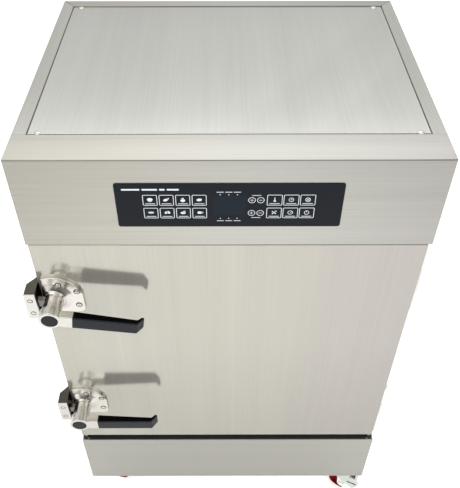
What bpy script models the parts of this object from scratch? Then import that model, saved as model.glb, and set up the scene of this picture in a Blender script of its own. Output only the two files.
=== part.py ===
"""Commercial food steamer cabinet on four swivel casters.

Metres, +Z up. Pieces are laid out in cabinet coordinates: x from the middle of the cabinet,
y back from the front plane of the control fascia, z up from the floor. One empty carries them
all, so that the origin lies under the middle of the whole object.
"""

import math

import bmesh
import bpy
from mathutils import Matrix, Vector

# Cabinet body
body_width = 0.700
body_depth = 0.570
body_height = 1.015
caster_height = 0.105
skin = 0.001
seam = 0.0003
overrun = 0.002
lap = 0.0002
point_merge = 1e-7
fascia_height = 0.180
front_depth = 0.068
lower_panel_height = 0.182
gap_under_door = 0.025
gap_over_door = 0.0007
side_rim_width = 0.0235
back_rim_width = 0.025
rim_drop = 0.0035
ledge_width = 0.012
cover_gap = 0.0012
cover_corner = 0.001
bottom_return = 0.011
hem_depth = 0.008
vent_slot_width = 0.090
vent_slot_height = 0.005
vent_slot_pitch = 0.014
vent_slot_rows = 4
vent_column_pitch = 0.125
vent_top_drop = 0.050

# Control panel
panel_width = 0.368
panel_height = 0.091
panel_drop = 0.045
panel_thickness = 0.0012
panel_corner = 0.004
window_margin = 0.014
window_height = 0.060
case_gap = 0.001
case_depth = 0.024
case_step = 0.006

# Chamber behind the door
jamb_width = 0.034
opening_head = 0.035
opening_sill = 0.033
frame_setback = 0.0525
frame_drop = 0.165
jamb_depth = 0.012
jamb_overlap = 0.010
rear_space = 0.0662
liner_floor_drop = 0.0105
liner_wall = 0.001
insulation_side_gap = 0.0005
insulation_top = 0.034
insulation_back = 0.040
bracket_width = 0.007
bracket_reach = 0.0445
bracket_height = 0.052
bracket_side_inset = 0.0062

# Water tank and heating
tank_side_margin = 0.040
tank_front_margin = 0.0432
tank_rear_margin = 0.0348
tank_height = 0.140
tank_rim = 0.019
tank_floor_margin = 0.010
steam_plate_margin = 0.010
steam_plate_overhang = 0.026
steam_plate_thickness = 0.0012
steam_plate_lip = 0.006
steam_slot_width = 0.012
steam_slot_bridge = 0.040
steam_slot_side_edge = 0.006
steam_slot_end_edge = 0.026
steam_slot_columns = 4
steam_slot_rows = 5
heater_port_width = 0.200
heater_port_height = 0.050
heater_flange_margin = 0.014
heater_flange_thickness = 0.004
heater_height = 0.036
heater_tube_radius = 0.0045
heater_loops = 3
heater_loop_width = 0.040
heater_loop_pitch = 0.068
heater_front_gap = 0.082
terminal_radius = 0.003
terminal_length = 0.014

# Tray racks and trays
tray_count = 6
tray_side_gap = 0.0173
tray_rear_gap = 0.0213
tray_height = 0.048
tray_wall = 0.001
tray_rim = 0.013
tray_taper = 0.004
tray_corner = 0.030
tray_front_gap = 0.030
first_shelf_rise = 0.060
top_shelf_drop = 0.0605
rack_standoff = 0.011
rack_sheet = 0.0012
shelf_reach = 0.014
shelf_lip = 0.004
shelf_brace = 0.018
rack_foot = 0.030
rack_margin_y = 0.010

# Services at the back
exhaust_radius = 0.020
exhaust_wall = 0.0015
exhaust_reach = 0.032
exhaust_flange_radius = 0.034
exhaust_flange_thickness = 0.0015
exhaust_drop = 0.041
pipe_clearance = 0.0006
inlet_side_inset = 0.041
inlet_rise = 0.080
inlet_spigot_radius = 0.013
inlet_bore_radius = 0.0085
inlet_bore_depth = 0.016
inlet_reach = 0.026
inlet_flange_radius = 0.017
inlet_flange_thickness = 0.005
inlet_pipe_radius = 0.006
inlet_inner_reach = 0.012
coil_width = 0.034
coil_height = 0.046
coil_depth = 0.038
coil_setback = 0.018
drain_side_inset = 0.076
drain_rise = 0.024
drain_pipe_radius = 0.010
drain_inner_reach = 0.008
drain_ball_radius = 0.017
drain_ball_length = 0.026
drain_ball_slope = 0.005
drain_bore_radius = 0.0075
drain_bore_depth = 0.018
drain_reach = 0.048
drain_stem_radius = 0.005
drain_stem_height = 0.006
drain_lever_length = 0.075
drain_lever_width = 0.014
drain_lever_thickness = 0.003
drain_hub_radius = 0.009
gland_side_inset = 0.080
gland_drop = 0.130
gland_flange_radius = 0.014
gland_flange_length = 0.010
gland_neck_radius = 0.010
gland_nose_radius = 0.0105
gland_tip_radius = 0.0085
gland_nose_length = 0.014
gland_bore_radius = 0.0055
gland_nut_length = 0.008

# Base
base_sheet = 0.0015
base_fold = 0.040
base_inset = 0.0015
post_width = 0.028
post_sheet = 0.002
rail_gap = 0.0005
rail_depth = 0.026

# Door
door_side_gap_latch = 0.0035
door_side_gap_hinge = 0.0065
door_fold_depth = 0.043
door_lip = 0.018
door_inner_margin = 0.002
door_inner_raise = 0.008
door_inner_border = 0.044
door_inner_draft = 0.006
gasket_width = 0.012
gasket_crest = 0.006
gasket_inset = 0.0125
gasket_corner = 0.016

# Hinges
hinge_height = 0.114
hinge_upper_drop = 0.1193
hinge_lower_rise = 0.066
hinge_out = 0.012
hinge_back = 0.056
knuckle_radius = 0.009
pin_radius = 0.004
pin_clearance = 0.0003
pin_head_height = 0.003
leaf_thickness = 0.003
leaf_reach = 0.056
leaf_start = 0.0023
leaf_inset = 0.001
leaf_web = 0.0065
door_leaf_start = 0.004
door_leaf_end = 0.040

# Latches, measured from the spindle's axis and out from the door's face
latch_inset = 0.0265
latch_upper_drop = 0.1263
latch_lower_rise = 0.151
flange_left = 0.020
flange_radius = 0.050
flange_right = 0.052
flange_foot = 0.042
flange_shoulder = 0.014
flange_corner = 0.012
flange_thickness = 0.006
flange_edge = 0.0012
cone_radius = 0.031
ring_radius = 0.0185
ring_depth = 0.0105
ring_width = 0.002
neck_radius = 0.016
neck_front = 0.044
spindle_hub_radius = 0.0105
spindle_radius = 0.0078
spindle_clearance = 0.0004
spindle_front = 0.0585
front_bearing = 0.006
tongue_back = 0.0147
tongue_front = 0.0247
tongue_reach = 0.0425
tongue_half_width = 0.008
slot_clearance = 0.0012
slot_spare_deg = 4.0
head_radius = 0.0205
head_front = 0.064
arm_back = 0.0465
arm_half_height = 0.0135
arm_root = 0.0161
arm_root_half_height = 0.0122
arm_waist = 0.026
arm_length = 0.040
tang_length = 0.050
tang_half_height = 0.007
tang_thickness = 0.008
cap_radius = 0.0148
cap_seat = 0.0022
grip_length = 0.1275
grip_bend = 0.012
grip_bend_depth = 0.017
grip_taper = 0.0061
grip_hook_start = 0.0127
grip_hook_length = 0.005
grip_hook_depth = 0.0073
grip_edge = 0.002
upper_droop_deg = 8.5
keeper_front = 0.031
keeper_sheet = 0.0025
keeper_arm_out = 0.0145
keeper_bend_back = 0.012
keeper_bend_front = 0.005
keeper_plate_reach = 0.044
keeper_half_height = 0.033
keeper_gusset = 0.0025
strike_thickness = 0.003
strike_half_height = 0.032
strike_overhang = 0.0012
strike_door_gap = 0.0009

# Casters
caster_side_inset = 0.064
caster_front_inset = 0.0435
caster_back_inset = 0.045
plate_width = 0.082
plate_depth = 0.062
plate_thickness = 0.003
plate_corner = 0.006
race_radius = 0.021
race_foot_radius = 0.017
race_height = 0.0095
king_pin_radius = 0.005
king_nut_radius = 0.009
king_nut_height = 0.004
crown_radius = 0.024
crown_thickness = 0.004
trail = 0.030
fork_gap = 0.034
fork_sheet = 0.003
fork_boss_radius = 0.011
fork_front_reach = 0.018
fork_back_reach = 0.047
fork_cheek = 0.010
fork_neck_reach = 0.017
fork_neck_drop = 0.024
axle_radius = 0.004
axle_head_radius = 0.0075
axle_head_height = 0.003
axle_clearance = 0.0003
wheel_radius = 0.0375
wheel_width = 0.025
wheel_shoulder = 0.005
wheel_recess = 0.004
wheel_rim_inner_radius = 0.027
hub_radius = 0.0105
hub_width = 0.032
brake_pivot_reach = 0.040
brake_pivot_drop = 0.011
brake_pin_radius = 0.003
brake_plate = 0.003
brake_width = 0.028
brake_bend = 0.022
brake_tip = 0.028
brake_bend_drop = 0.009
brake_tip_drop = 0.011

# Counts of flat faces on round pieces
round_sides = 20
small_sides = 12
screw_sides = 8
heater_sides = 6
arc_steps = 7
corner_steps = 2
bevel_roundness = 0.5
facing_share = 0.5

# Directions in which the four casters trail, in degrees from +X
caster_trails_deg = {"fl": 78.0, "fr": -24.0, "rl": 62.0, "rr": 155.0}

# Worked out from the sizes above
body_bottom = caster_height
body_top = caster_height + body_height
half_width = body_width / 2
fascia_bottom = body_top - fascia_height
lower_panel_top = body_bottom + lower_panel_height
door_bottom = lower_panel_top + gap_under_door
door_top = fascia_bottom - gap_over_door
door_left = -half_width + door_side_gap_latch
door_right = half_width - door_side_gap_hinge
sill_z = door_bottom + opening_sill
head_z = fascia_bottom - opening_head
opening_half = half_width - jamb_width
frame_low = door_bottom - frame_drop
frame_back = frame_setback + skin
liner_half = opening_half + skin + seam
liner_floor = sill_z - liner_floor_drop
liner_ceiling = head_z + skin + seam
liner_front = frame_back + seam
liner_back = body_depth - rear_space
liner_depth = liner_back - liner_front
ledge_z = body_top - rim_drop
tank_top = liner_floor - liner_wall - seam
tank_floor = tank_top - tank_height
tank_half = opening_half - tank_side_margin
tank_front = liner_front + tank_front_margin
tank_back = liner_back - tank_rear_margin
tank_depth = tank_back - tank_front
latch_x = door_left + latch_inset
latch_upper_z = door_top - latch_upper_drop
latch_lower_z = door_bottom + latch_lower_rise
hinge_upper_z = door_top - hinge_upper_drop
hinge_lower_z = door_bottom + hinge_lower_rise
hinge_x = half_width + hinge_out
exhaust_z = head_z - exhaust_drop
inlet_z = tank_floor + inlet_rise
drain_z = tank_floor + drain_rise
inlet_x = tank_half - inlet_side_inset
drain_x = drain_side_inset - tank_half
gland_x = gland_side_inset - half_width
tray_front = frame_setback + tray_front_gap
tray_depth = liner_back - tray_rear_gap - tray_front
tray_width = 2 * (liner_half - tray_side_gap)
tray_pitch = (head_z - top_shelf_drop - first_shelf_rise - liner_floor) / (tray_count - 1)
back_reach = drain_reach
crown_top_z = body_bottom + skin - plate_thickness - race_height
front_plane_y = (head_front - body_depth - back_reach) / 2

STEEL = (0.62, 0.61, 0.58)
PALE_STEEL = (0.70, 0.69, 0.66)
DARK_STEEL = (0.20, 0.20, 0.19)
CHROME = (0.80, 0.78, 0.74)
BLACK = (0.015, 0.015, 0.017)
PANEL_BLACK = (0.020, 0.021, 0.024)
BOARD_GREEN = (0.02, 0.14, 0.06)
SILICONE = (0.75, 0.74, 0.70)
FOAM = (0.80, 0.75, 0.55)
BRASS = (0.72, 0.52, 0.22)
ZINC = (0.74, 0.75, 0.76)
WHEEL_RED = (0.42, 0.015, 0.015)
LEVER_RED = (0.50, 0.03, 0.02)

UP = Vector((0, 0, 1))


def clear_scene():
    for obj in list(bpy.data.objects):
        bpy.data.objects.remove(obj, do_unlink=True)


def material(name, colour, metallic, roughness):
    found = bpy.data.materials.get(name)
    if found:
        return found
    made = bpy.data.materials.new(name)
    made.use_nodes = True
    shader = made.node_tree.nodes["Principled BSDF"]
    shader.inputs["Base Color"].default_value = (*colour, 1)
    shader.inputs["Metallic"].default_value = metallic
    shader.inputs["Roughness"].default_value = roughness
    made.diffuse_color = (*colour, 1)
    return made


def pivot(name, place, parent, turn=(0, 0, 0)):
    """An empty on a joint's axis, placed in its parent's coordinates."""
    empty = bpy.data.objects.new(name, None)
    empty.location = place
    empty.rotation_euler = turn
    empty.parent = parent
    bpy.context.scene.collection.objects.link(empty)
    return empty


def piece(name, shape, finish, parent, place=(0, 0, 0), smooth=True):
    """One named object from a bmesh or a mesh; every object takes its own material."""
    if isinstance(shape, bmesh.types.BMesh):
        mesh = bpy.data.meshes.new(name)
        shape.to_mesh(mesh)
        shape.free()
    else:
        mesh = shape
    if smooth:
        mesh.shade_smooth()
        mesh.set_sharp_from_angle(angle=math.radians(30))
    obj = bpy.data.objects.new(name, mesh)
    bpy.context.scene.collection.objects.link(obj)
    obj.location = place
    obj.parent = parent
    if not mesh.materials:
        mesh.materials.append(material(name, *finish))
    return obj


def helper(name, shape, parent, place=(0, 0, 0)):
    """A shape that another piece is cut by or joined with, left out of the model."""
    obj = piece(name, shape, (DARK_STEEL, 0, 1), parent, place, smooth=False)
    obj.hide_render = True
    obj.display_type = "WIRE"
    return obj


def boolean(obj, other, operation):
    modifier = obj.modifiers.new(other.name, "BOOLEAN")
    modifier.operation = operation
    modifier.solver = "EXACT"
    modifier.object = other


def cut(obj, shape):
    boolean(obj, helper(obj.name + "_cut", shape, obj), "DIFFERENCE")


def join(obj, shape):
    boolean(obj, helper(obj.name + "_add", shape, obj), "UNION")


def applied(obj):
    """The finished mesh of an object, which is then taken out of the scene."""
    bpy.context.view_layer.update()
    graph = bpy.context.evaluated_depsgraph_get()
    mesh = bpy.data.meshes.new_from_object(obj.evaluated_get(graph))
    for child in list(obj.children):
        bpy.data.objects.remove(child, do_unlink=True)
    bpy.data.objects.remove(obj, do_unlink=True)
    return mesh


def own(mesh):
    """A copy of a shared shape, free to take its own material."""
    copy = mesh.copy()
    copy.materials.clear()
    return copy


def box(bm, low, high):
    """A box between two corners; returns its six faces."""
    size = Vector(high) - Vector(low)
    middle = (Vector(high) + Vector(low)) / 2
    matrix = Matrix.Translation(middle) @ Matrix.Diagonal((*size, 1))
    made = bmesh.ops.create_cube(bm, size=1, matrix=matrix)
    faces = list({face for vert in made["verts"] for face in vert.link_faces})
    for face in faces:
        face.normal_update()
    return faces


def facing(faces, direction):
    return max(faces, key=lambda face: face.normal.dot(Vector(direction)))


def step(bm, face, grow, move):
    """Extrudes a rectangular face, spreads its corners by grow and moves it out by move."""
    normal = face.normal.copy()
    made = bmesh.ops.extrude_discrete_faces(bm, faces=[face])["faces"][0]
    middle = made.calc_center_median()
    for vert in made.verts:
        away = vert.co - middle
        for axis in range(3):
            if abs(normal[axis]) < facing_share:
                vert.co[axis] += math.copysign(1, away[axis]) * grow
        vert.co += normal * move
    made.normal_update()
    return made


def prism(bm, outline, axis, start, end):
    """An outline drawn across one axis and extruded along it."""
    place = {
        "X": lambda u, v: (start, u, v),
        "Y": lambda u, v: (u, start, v),
        "Z": lambda u, v: (u, v, start),
    }[axis]
    along = {"X": (1, 0, 0), "Y": (0, 1, 0), "Z": (0, 0, 1)}[axis]
    face = bm.faces.new([bm.verts.new(place(u, v)) for u, v in outline])
    made = bmesh.ops.extrude_face_region(bm, geom=[face])["geom"]
    verts = [item for item in made if isinstance(item, bmesh.types.BMVert)]
    bmesh.ops.translate(bm, verts=verts, vec=Vector(along) * (end - start))
    new_faces = {face} | {f for vert in verts for f in vert.link_faces}
    bmesh.ops.recalc_face_normals(bm, faces=list(new_faces))
    return list(new_faces)


def arc(centre_u, centre_v, radius, start_deg, end_deg, steps=arc_steps):
    angles = [math.radians(start_deg + (end_deg - start_deg) * i / steps) for i in range(steps + 1)]
    return [(centre_u + radius * math.cos(a), centre_v + radius * math.sin(a)) for a in angles]


def rounded(left, right, low, high, radius, steps=corner_steps):
    """A rectangle with round corners, anticlockwise."""
    outline = []
    for u, v, start in (
        (right - radius, low + radius, -90),
        (right - radius, high - radius, 0),
        (left + radius, high - radius, 90),
        (left + radius, low + radius, 180),
    ):
        outline += arc(u, v, radius, start, start + 90, steps)
    return outline


def lofted(bm, loops, closed=False):
    """Skins a run of matching loops of points; the ends are capped unless the run closes."""
    rings = [[bm.verts.new(point) for point in loop] for loop in loops]
    ahead = rings[1:] + rings[:1] if closed else rings[1:]
    for one, two in zip(rings, ahead):
        for i in range(len(one)):
            j = (i + 1) % len(one)
            bm.faces.new((one[i], one[j], two[j], two[i]))
    if not closed:
        bm.faces.new(rings[0])
        bm.faces.new(rings[-1])
    bmesh.ops.recalc_face_normals(bm, faces=bm.faces[:])


def folded(path, thickness):
    """The outline of a sheet folded along a path, with its thickness on the left of the path."""
    points = [Vector(point) for point in path]
    ways = [(b - a).normalized() for a, b in zip(points, points[1:])]
    lefts = [Vector((-way.y, way.x)) for way in ways]
    inner = [points[0] + lefts[0] * thickness]
    for i in range(1, len(points) - 1):
        both = lefts[i - 1] + lefts[i]
        inner.append(points[i] + both * (2 * thickness / both.length_squared))
    inner.append(points[-1] + lefts[-1] * thickness)
    return [tuple(point) for point in points + inner[::-1]]


def turned(bm, profile, sides, matrix=Matrix()):
    """A solid turned about local Z from (radius, height) points that run up its outside."""
    closed = profile[0][0] > 0 and profile[-1][0] > 0
    start = math.pi / sides
    verts = [
        bm.verts.new(Vector((r * math.cos(start), r * math.sin(start), h))) for r, h in profile
    ]
    edges = [bm.edges.new(pair) for pair in zip(verts, verts[1:])]
    if closed:
        edges.append(bm.edges.new((verts[-1], verts[0])))
    bmesh.ops.spin(
        bm, geom=verts + edges, cent=(0, 0, 0), axis=UP, angle=math.tau, steps=sides, use_merge=True
    )
    faces = {face for vert in verts for face in vert.link_faces}
    grown = set(faces)
    while grown:
        near = {f for face in grown for edge in face.edges for f in edge.link_faces} - faces
        faces |= near
        grown = near
    solid_verts = list({vert for face in faces for vert in face.verts})
    bmesh.ops.remove_doubles(bm, verts=solid_verts, dist=point_merge)
    faces = [face for face in faces if face.is_valid]
    bmesh.ops.recalc_face_normals(bm, faces=faces)
    solid_verts = list({vert for face in faces for vert in face.verts})
    bmesh.ops.transform(bm, matrix=matrix, verts=solid_verts)
    return faces


def outward(x, y, z):
    """Places a shape turned about Z so that its height runs out of the door, towards -Y."""
    return Matrix.Translation((x, y, z)) @ Matrix.Rotation(math.pi / 2, 4, "X")


def backward(x, y, z):
    """Places a shape turned about Z so that its height runs back, towards +Y."""
    return Matrix.Translation((x, y, z)) @ Matrix.Rotation(-math.pi / 2, 4, "X")


def upright(x, y, z):
    return Matrix.Translation((x, y, z))


def rod(radius, low, high):
    return [(0, low), (radius, low), (radius, high), (0, high)]


def soften(bm, edges, width, segments):
    bmesh.ops.bevel(
        bm, geom=edges, offset=width, segments=segments, profile=bevel_roundness, affect="EDGES", material=-1
    )


def mitre(bm, side, keep_front):
    """Cuts the rear corner along the line where the side and back rims meet."""
    corner = Vector((side * half_width, body_depth, 0))
    inner = Vector((side * (half_width - side_rim_width), body_depth - back_rim_width, 0))
    normal = (corner - inner).normalized().cross(UP) * side
    if keep_front:
        normal = -normal
    shift = normal * -seam / 2
    geometry = bm.verts[:] + bm.edges[:] + bm.faces[:]
    made = bmesh.ops.bisect_plane(
        bm, geom=geometry, plane_co=corner + shift, plane_no=normal, clear_outer=True
    )
    rim = [item for item in made["geom_cut"] if isinstance(item, bmesh.types.BMEdge)]
    bmesh.ops.holes_fill(bm, edges=rim)
    bmesh.ops.recalc_face_normals(bm, faces=bm.faces[:])


def side_panel(name, side, parent):
    edge = half_width
    rim = edge - side_rim_width
    path = [
        (edge - bottom_return, body_bottom),
        (edge, body_bottom),
        (edge, body_top),
        (rim, body_top),
        (rim, ledge_z),
        (rim - ledge_width, ledge_z),
    ]
    outline = [(side * x, z) for x, z in folded(path, skin)]
    bm = bmesh.new()
    prism(bm, outline, "Y", front_depth + seam, body_depth)
    mitre(bm, side, keep_front=True)
    return piece(name, bm, (STEEL, 1, 0.34), parent)


def back_panel(parent):
    edge = body_depth
    rim = edge - back_rim_width
    path = [
        (edge - bottom_return, body_bottom),
        (edge, body_bottom),
        (edge, body_top),
        (rim, body_top),
        (rim, ledge_z),
        (rim - ledge_width, ledge_z),
    ]
    bm = bmesh.new()
    prism(bm, folded(path, skin), "X", -half_width, half_width)
    mitre(bm, 1, keep_front=False)
    mitre(bm, -1, keep_front=False)
    obj = piece("back_panel", bm, (STEEL, 1, 0.36), parent)
    low, high = body_depth - skin - overrun, body_depth + overrun
    slots = bmesh.new()
    top = body_top - vent_top_drop
    for column in (-1, 0, 1):
        for row in range(vent_slot_rows):
            x = column * vent_column_pitch
            z = top - row * vent_slot_pitch
            half = vent_slot_width / 2
            box(slots, (x - half, low, z - vent_slot_height), (x + half, high, z))
    cut(obj, slots)
    ports = bmesh.new()
    for x, z, radius in (
        (0, exhaust_z, exhaust_radius + pipe_clearance),
        (inlet_x, inlet_z, inlet_pipe_radius + pipe_clearance),
        (drain_x, drain_z, drain_pipe_radius + pipe_clearance),
        (gland_x, body_top - gland_drop, gland_neck_radius + pipe_clearance),
    ):
        turned(ports, rod(radius, -overrun - skin, overrun), small_sides, backward(x, body_depth, z))
    cut(obj, ports)
    return obj


def control_fascia(parent):
    """An open-backed box whose top folds down at the back into a ledge for the cover."""
    bm = bmesh.new()
    faces = box(bm, (-half_width, 0, fascia_bottom), (half_width, front_depth, body_top))
    hollow = step(bm, facing(faces, (0, 1, 0)), -skin, 0)
    step(bm, hollow, 0, skin - front_depth)
    obj = piece("control_fascia", bm, (STEEL, 1, 0.32), parent)
    ledge = bmesh.new()
    edge = front_depth - lap
    path = [(edge + ledge_width, ledge_z), (edge, ledge_z), (edge, body_top - lap)]
    reach = half_width - side_rim_width - ledge_width - seam
    prism(ledge, folded(path, skin), "X", -reach, reach)
    join(obj, ledge)
    window = bmesh.new()
    half = panel_width / 2 - window_margin
    middle = body_top - panel_drop - panel_height / 2
    box(
        window,
        (-half, -overrun, middle - window_height / 2),
        (half, skin + overrun, middle + window_height / 2),
    )
    cut(obj, window)
    return obj


def top_cover(parent):
    """A flat cover that drops between the rims and rests on their ledges."""
    half = half_width - side_rim_width - cover_gap
    front = front_depth + cover_gap
    back = body_depth - back_rim_width - cover_gap
    bottom = ledge_z + seam
    bm = bmesh.new()
    prism(bm, rounded(-half, half, front, back, cover_corner), "Z", bottom, bottom + skin)
    piece("top_cover", bm, (STEEL, 1, 0.35), parent)


def control_panel(parent):
    """A glossy touch panel with its electronics in a case behind the fascia's window."""
    top = body_top - panel_drop
    middle = top - panel_height / 2
    half = panel_width / 2
    bm = bmesh.new()
    outline = rounded(-half, half, top - panel_height, top, panel_corner)
    prism(bm, outline, "Y", -seam - panel_thickness, -seam)
    obj = piece("control_panel", bm, (PANEL_BLACK, 0, 0.12), parent)
    case = bmesh.new()
    half = panel_width / 2 - window_margin - case_gap
    half_z = window_height / 2 - case_gap
    low = (-half, -seam - panel_thickness / 2, middle - half_z)
    faces = box(case, low, (half, case_depth, middle + half_z))
    back = step(case, facing(faces, (0, 1, 0)), -case_step, 0)
    step(case, back, 0, case_step)
    join(obj, case)


def lower_panel(parent):
    """An open-backed box with a narrow hem along its top and its foot."""
    bm = bmesh.new()
    faces = box(bm, (-half_width, 0, body_bottom), (half_width, front_depth, lower_panel_top))
    hollow = step(bm, facing(faces, (0, 1, 0)), -skin, 0)
    step(bm, hollow, 0, skin - front_depth)
    obj = piece("lower_panel", bm, (STEEL, 1, 0.34), parent)
    trim = bmesh.new()
    inner = half_width - skin - lap
    for start, low in ((hem_depth, lower_panel_top - skin), (bottom_return, body_bottom)):
        low_corner = (-inner, start, low - overrun)
        box(trim, low_corner, (inner, front_depth + overrun, low + skin + overrun))
    cut(obj, trim)
    notch = bmesh.new()
    far = half_width + overrun
    low_corner = (-far, frame_setback - seam, frame_low - seam)
    box(notch, low_corner, (far, front_depth + overrun, lower_panel_top + overrun))
    cut(obj, notch)
    return obj


def door_frame(parent):
    """A flat frame round the chamber's mouth, folded back at its sides and jambs."""
    low, high = frame_low, fascia_bottom - seam
    bm = bmesh.new()
    faces = box(bm, (-half_width, frame_setback, low), (half_width, front_depth, high))
    back = facing(faces, (0, 1, 0))
    cavity = step(bm, back, -skin, 0)
    step(bm, cavity, 0, frame_back - front_depth)
    obj = piece("door_frame", bm, (STEEL, 1, 0.36), parent)
    open_ends = bmesh.new()
    box(
        open_ends,
        (-half_width + skin, frame_back, low - overrun),
        (half_width - skin, front_depth + overrun, high + overrun),
    )
    cut(obj, open_ends)
    jamb = bmesh.new()
    wall = opening_half + skin
    box(
        jamb,
        (-wall, frame_back - skin / 2, sill_z - skin),
        (wall, frame_back + jamb_depth, head_z + skin),
    )
    join(obj, jamb)
    mouth = bmesh.new()
    box(
        mouth,
        (-opening_half, frame_setback - overrun, sill_z),
        (opening_half, frame_back + jamb_depth + overrun, head_z),
    )
    cut(obj, mouth)
    brackets = bmesh.new()
    front = frame_setback - bracket_reach
    top = door_bottom - overrun
    for side in (-1, 1):
        outer = half_width - bracket_side_inset
        inner = outer - bracket_width
        path = [(inner, front), (outer, front), (outer, frame_back - skin / 2)]
        outline = [(side * x, y) for x, y in folded(path, skin)]
        prism(brackets, outline, "Z", top - bracket_height, top)
    join(obj, brackets)
    return obj


def chamber(parent):
    outer = liner_half + liner_wall
    bm = bmesh.new()
    low = (-outer, liner_front, liner_floor - liner_wall)
    faces = box(bm, low, (outer, liner_back, liner_ceiling + liner_wall))
    mouth = step(bm, facing(faces, (0, -1, 0)), -liner_wall, 0)
    step(bm, mouth, 0, liner_wall - liner_depth)
    liner = piece("chamber_liner", bm, (STEEL, 1, 0.40), parent)
    wells = bmesh.new()
    half = tank_half - tank_floor_margin
    box(
        wells,
        (-half, tank_front + tank_floor_margin, liner_floor - liner_wall - overrun),
        (half, tank_back - tank_floor_margin, liner_floor + overrun),
    )
    profile = rod(exhaust_radius + pipe_clearance, -liner_wall - overrun, overrun)
    turned(wells, profile, small_sides, backward(0, liner_back, exhaust_z))
    cut(liner, wells)

    gap = insulation_side_gap
    outside = half_width - skin - gap
    inside = liner_half + liner_wall + gap
    front = front_depth + gap
    back = liner_back + insulation_back
    bottom = liner_floor + gap
    top = liner_ceiling + liner_wall + insulation_top
    bm = bmesh.new()
    box(bm, (-outside, front, bottom), (outside, back, top))
    foam = piece("insulation", bm, (FOAM, 0, 0.9), parent)
    hollow = bmesh.new()
    box(
        hollow,
        (-inside, front - overrun, bottom - overrun),
        (inside, liner_back + gap, liner_ceiling + liner_wall + gap),
    )
    profile = rod(exhaust_radius + pipe_clearance, -gap - overrun, insulation_back + overrun)
    port = bmesh.new()
    turned(port, profile, small_sides, backward(0, liner_back, exhaust_z))
    cut(foam, hollow)
    cut(foam, port)


def water_tank(parent):
    half_x, middle_y = tank_half + tank_rim, (tank_front + tank_back) / 2
    half_y = tank_depth / 2 + tank_rim
    bm = bmesh.new()
    faces = box(
        bm,
        (-half_x, middle_y - half_y, tank_top - liner_wall),
        (half_x, middle_y + half_y, tank_top),
    )
    top, bottom = facing(faces, (0, 0, 1)), facing(faces, (0, 0, -1))
    floor = step(bm, bottom, -tank_rim, 0)
    step(bm, floor, 0, tank_height - liner_wall)
    well = step(bm, top, -tank_rim - liner_wall, 0)
    step(bm, well, 0, liner_wall - tank_height)
    tank = piece("water_tank", bm, (PALE_STEEL, 1, 0.4), parent)
    ports = bmesh.new()
    heater_z = tank_floor + heater_height
    low = tank_back - liner_wall - overrun
    box(
        ports,
        (-heater_port_width / 2, low, heater_z - heater_port_height / 2),
        (heater_port_width / 2, tank_back + overrun, heater_z + heater_port_height / 2),
    )
    for x, z, radius in (
        (inlet_x, inlet_z, inlet_pipe_radius),
        (drain_x, drain_z, drain_pipe_radius),
    ):
        profile = rod(radius + pipe_clearance, -liner_wall - overrun, overrun)
        turned(ports, profile, small_sides, backward(x, tank_back, z))
    cut(tank, ports)


def heating_elements(parent):
    """Three hairpin tubes brazed into one flange on the tank's rear wall."""
    z = tank_floor + heater_height
    half_x = heater_port_width / 2 + heater_flange_margin
    half_z = heater_port_height / 2 + heater_flange_margin
    front = tank_back + seam
    back = front + heater_flange_thickness
    bm = bmesh.new()
    prism(bm, rounded(-half_x, half_x, z - half_z, z + half_z, heater_flange_margin), "Y", front, back)
    obj = piece("heating_elements", bm, (PALE_STEEL, 1, 0.35), parent)
    tubes = bmesh.new()
    for index in range(heater_loops):
        x = (index - (heater_loops - 1) / 2) * heater_loop_pitch
        hairpin(tubes, x, z, front + heater_flange_thickness / 2)
    join(obj, tubes)
    studs = bmesh.new()
    for index in range(heater_loops):
        x = (index - (heater_loops - 1) / 2) * heater_loop_pitch
        for side in (-1, 1):
            profile = rod(terminal_radius, -heater_flange_thickness / 2, terminal_length)
            turned(studs, profile, heater_sides, backward(x + side * heater_loop_width / 2, back, z))
    join(obj, studs)


def hairpin(bm, x, z, start_y):
    """A tube that runs forward, turns half a circle and runs back."""
    radius = heater_loop_width / 2
    bend_y = tank_front + heater_front_gap + radius
    matrix = backward(x - radius, start_y, z)
    ring = bmesh.ops.create_circle(
        bm, cap_ends=True, radius=heater_tube_radius, segments=heater_sides, matrix=matrix
    )["verts"]
    end = next(face for vert in ring for face in vert.link_faces)
    first = end
    for kind in ("run", "bend", "return"):
        if kind == "bend":
            made = bmesh.ops.spin(
                bm,
                geom=[end],
                cent=(x, bend_y, z),
                axis=(0, 0, -1),
                angle=-math.pi,
                steps=2 * corner_steps,
            )["geom_last"]
        else:
            way = bend_y - start_y if kind == "run" else start_y - bend_y
            made = bmesh.ops.extrude_face_region(bm, geom=[end])["geom"]
            verts = [item for item in made if isinstance(item, bmesh.types.BMVert)]
            bmesh.ops.translate(bm, verts=verts, vec=(0, way, 0))
        old = end
        end = next(item for item in made if isinstance(item, bmesh.types.BMFace))
        if old is not first and old.is_valid:
            bm.faces.remove(old)
    bmesh.ops.recalc_face_normals(bm, faces=bm.faces[:])


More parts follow.
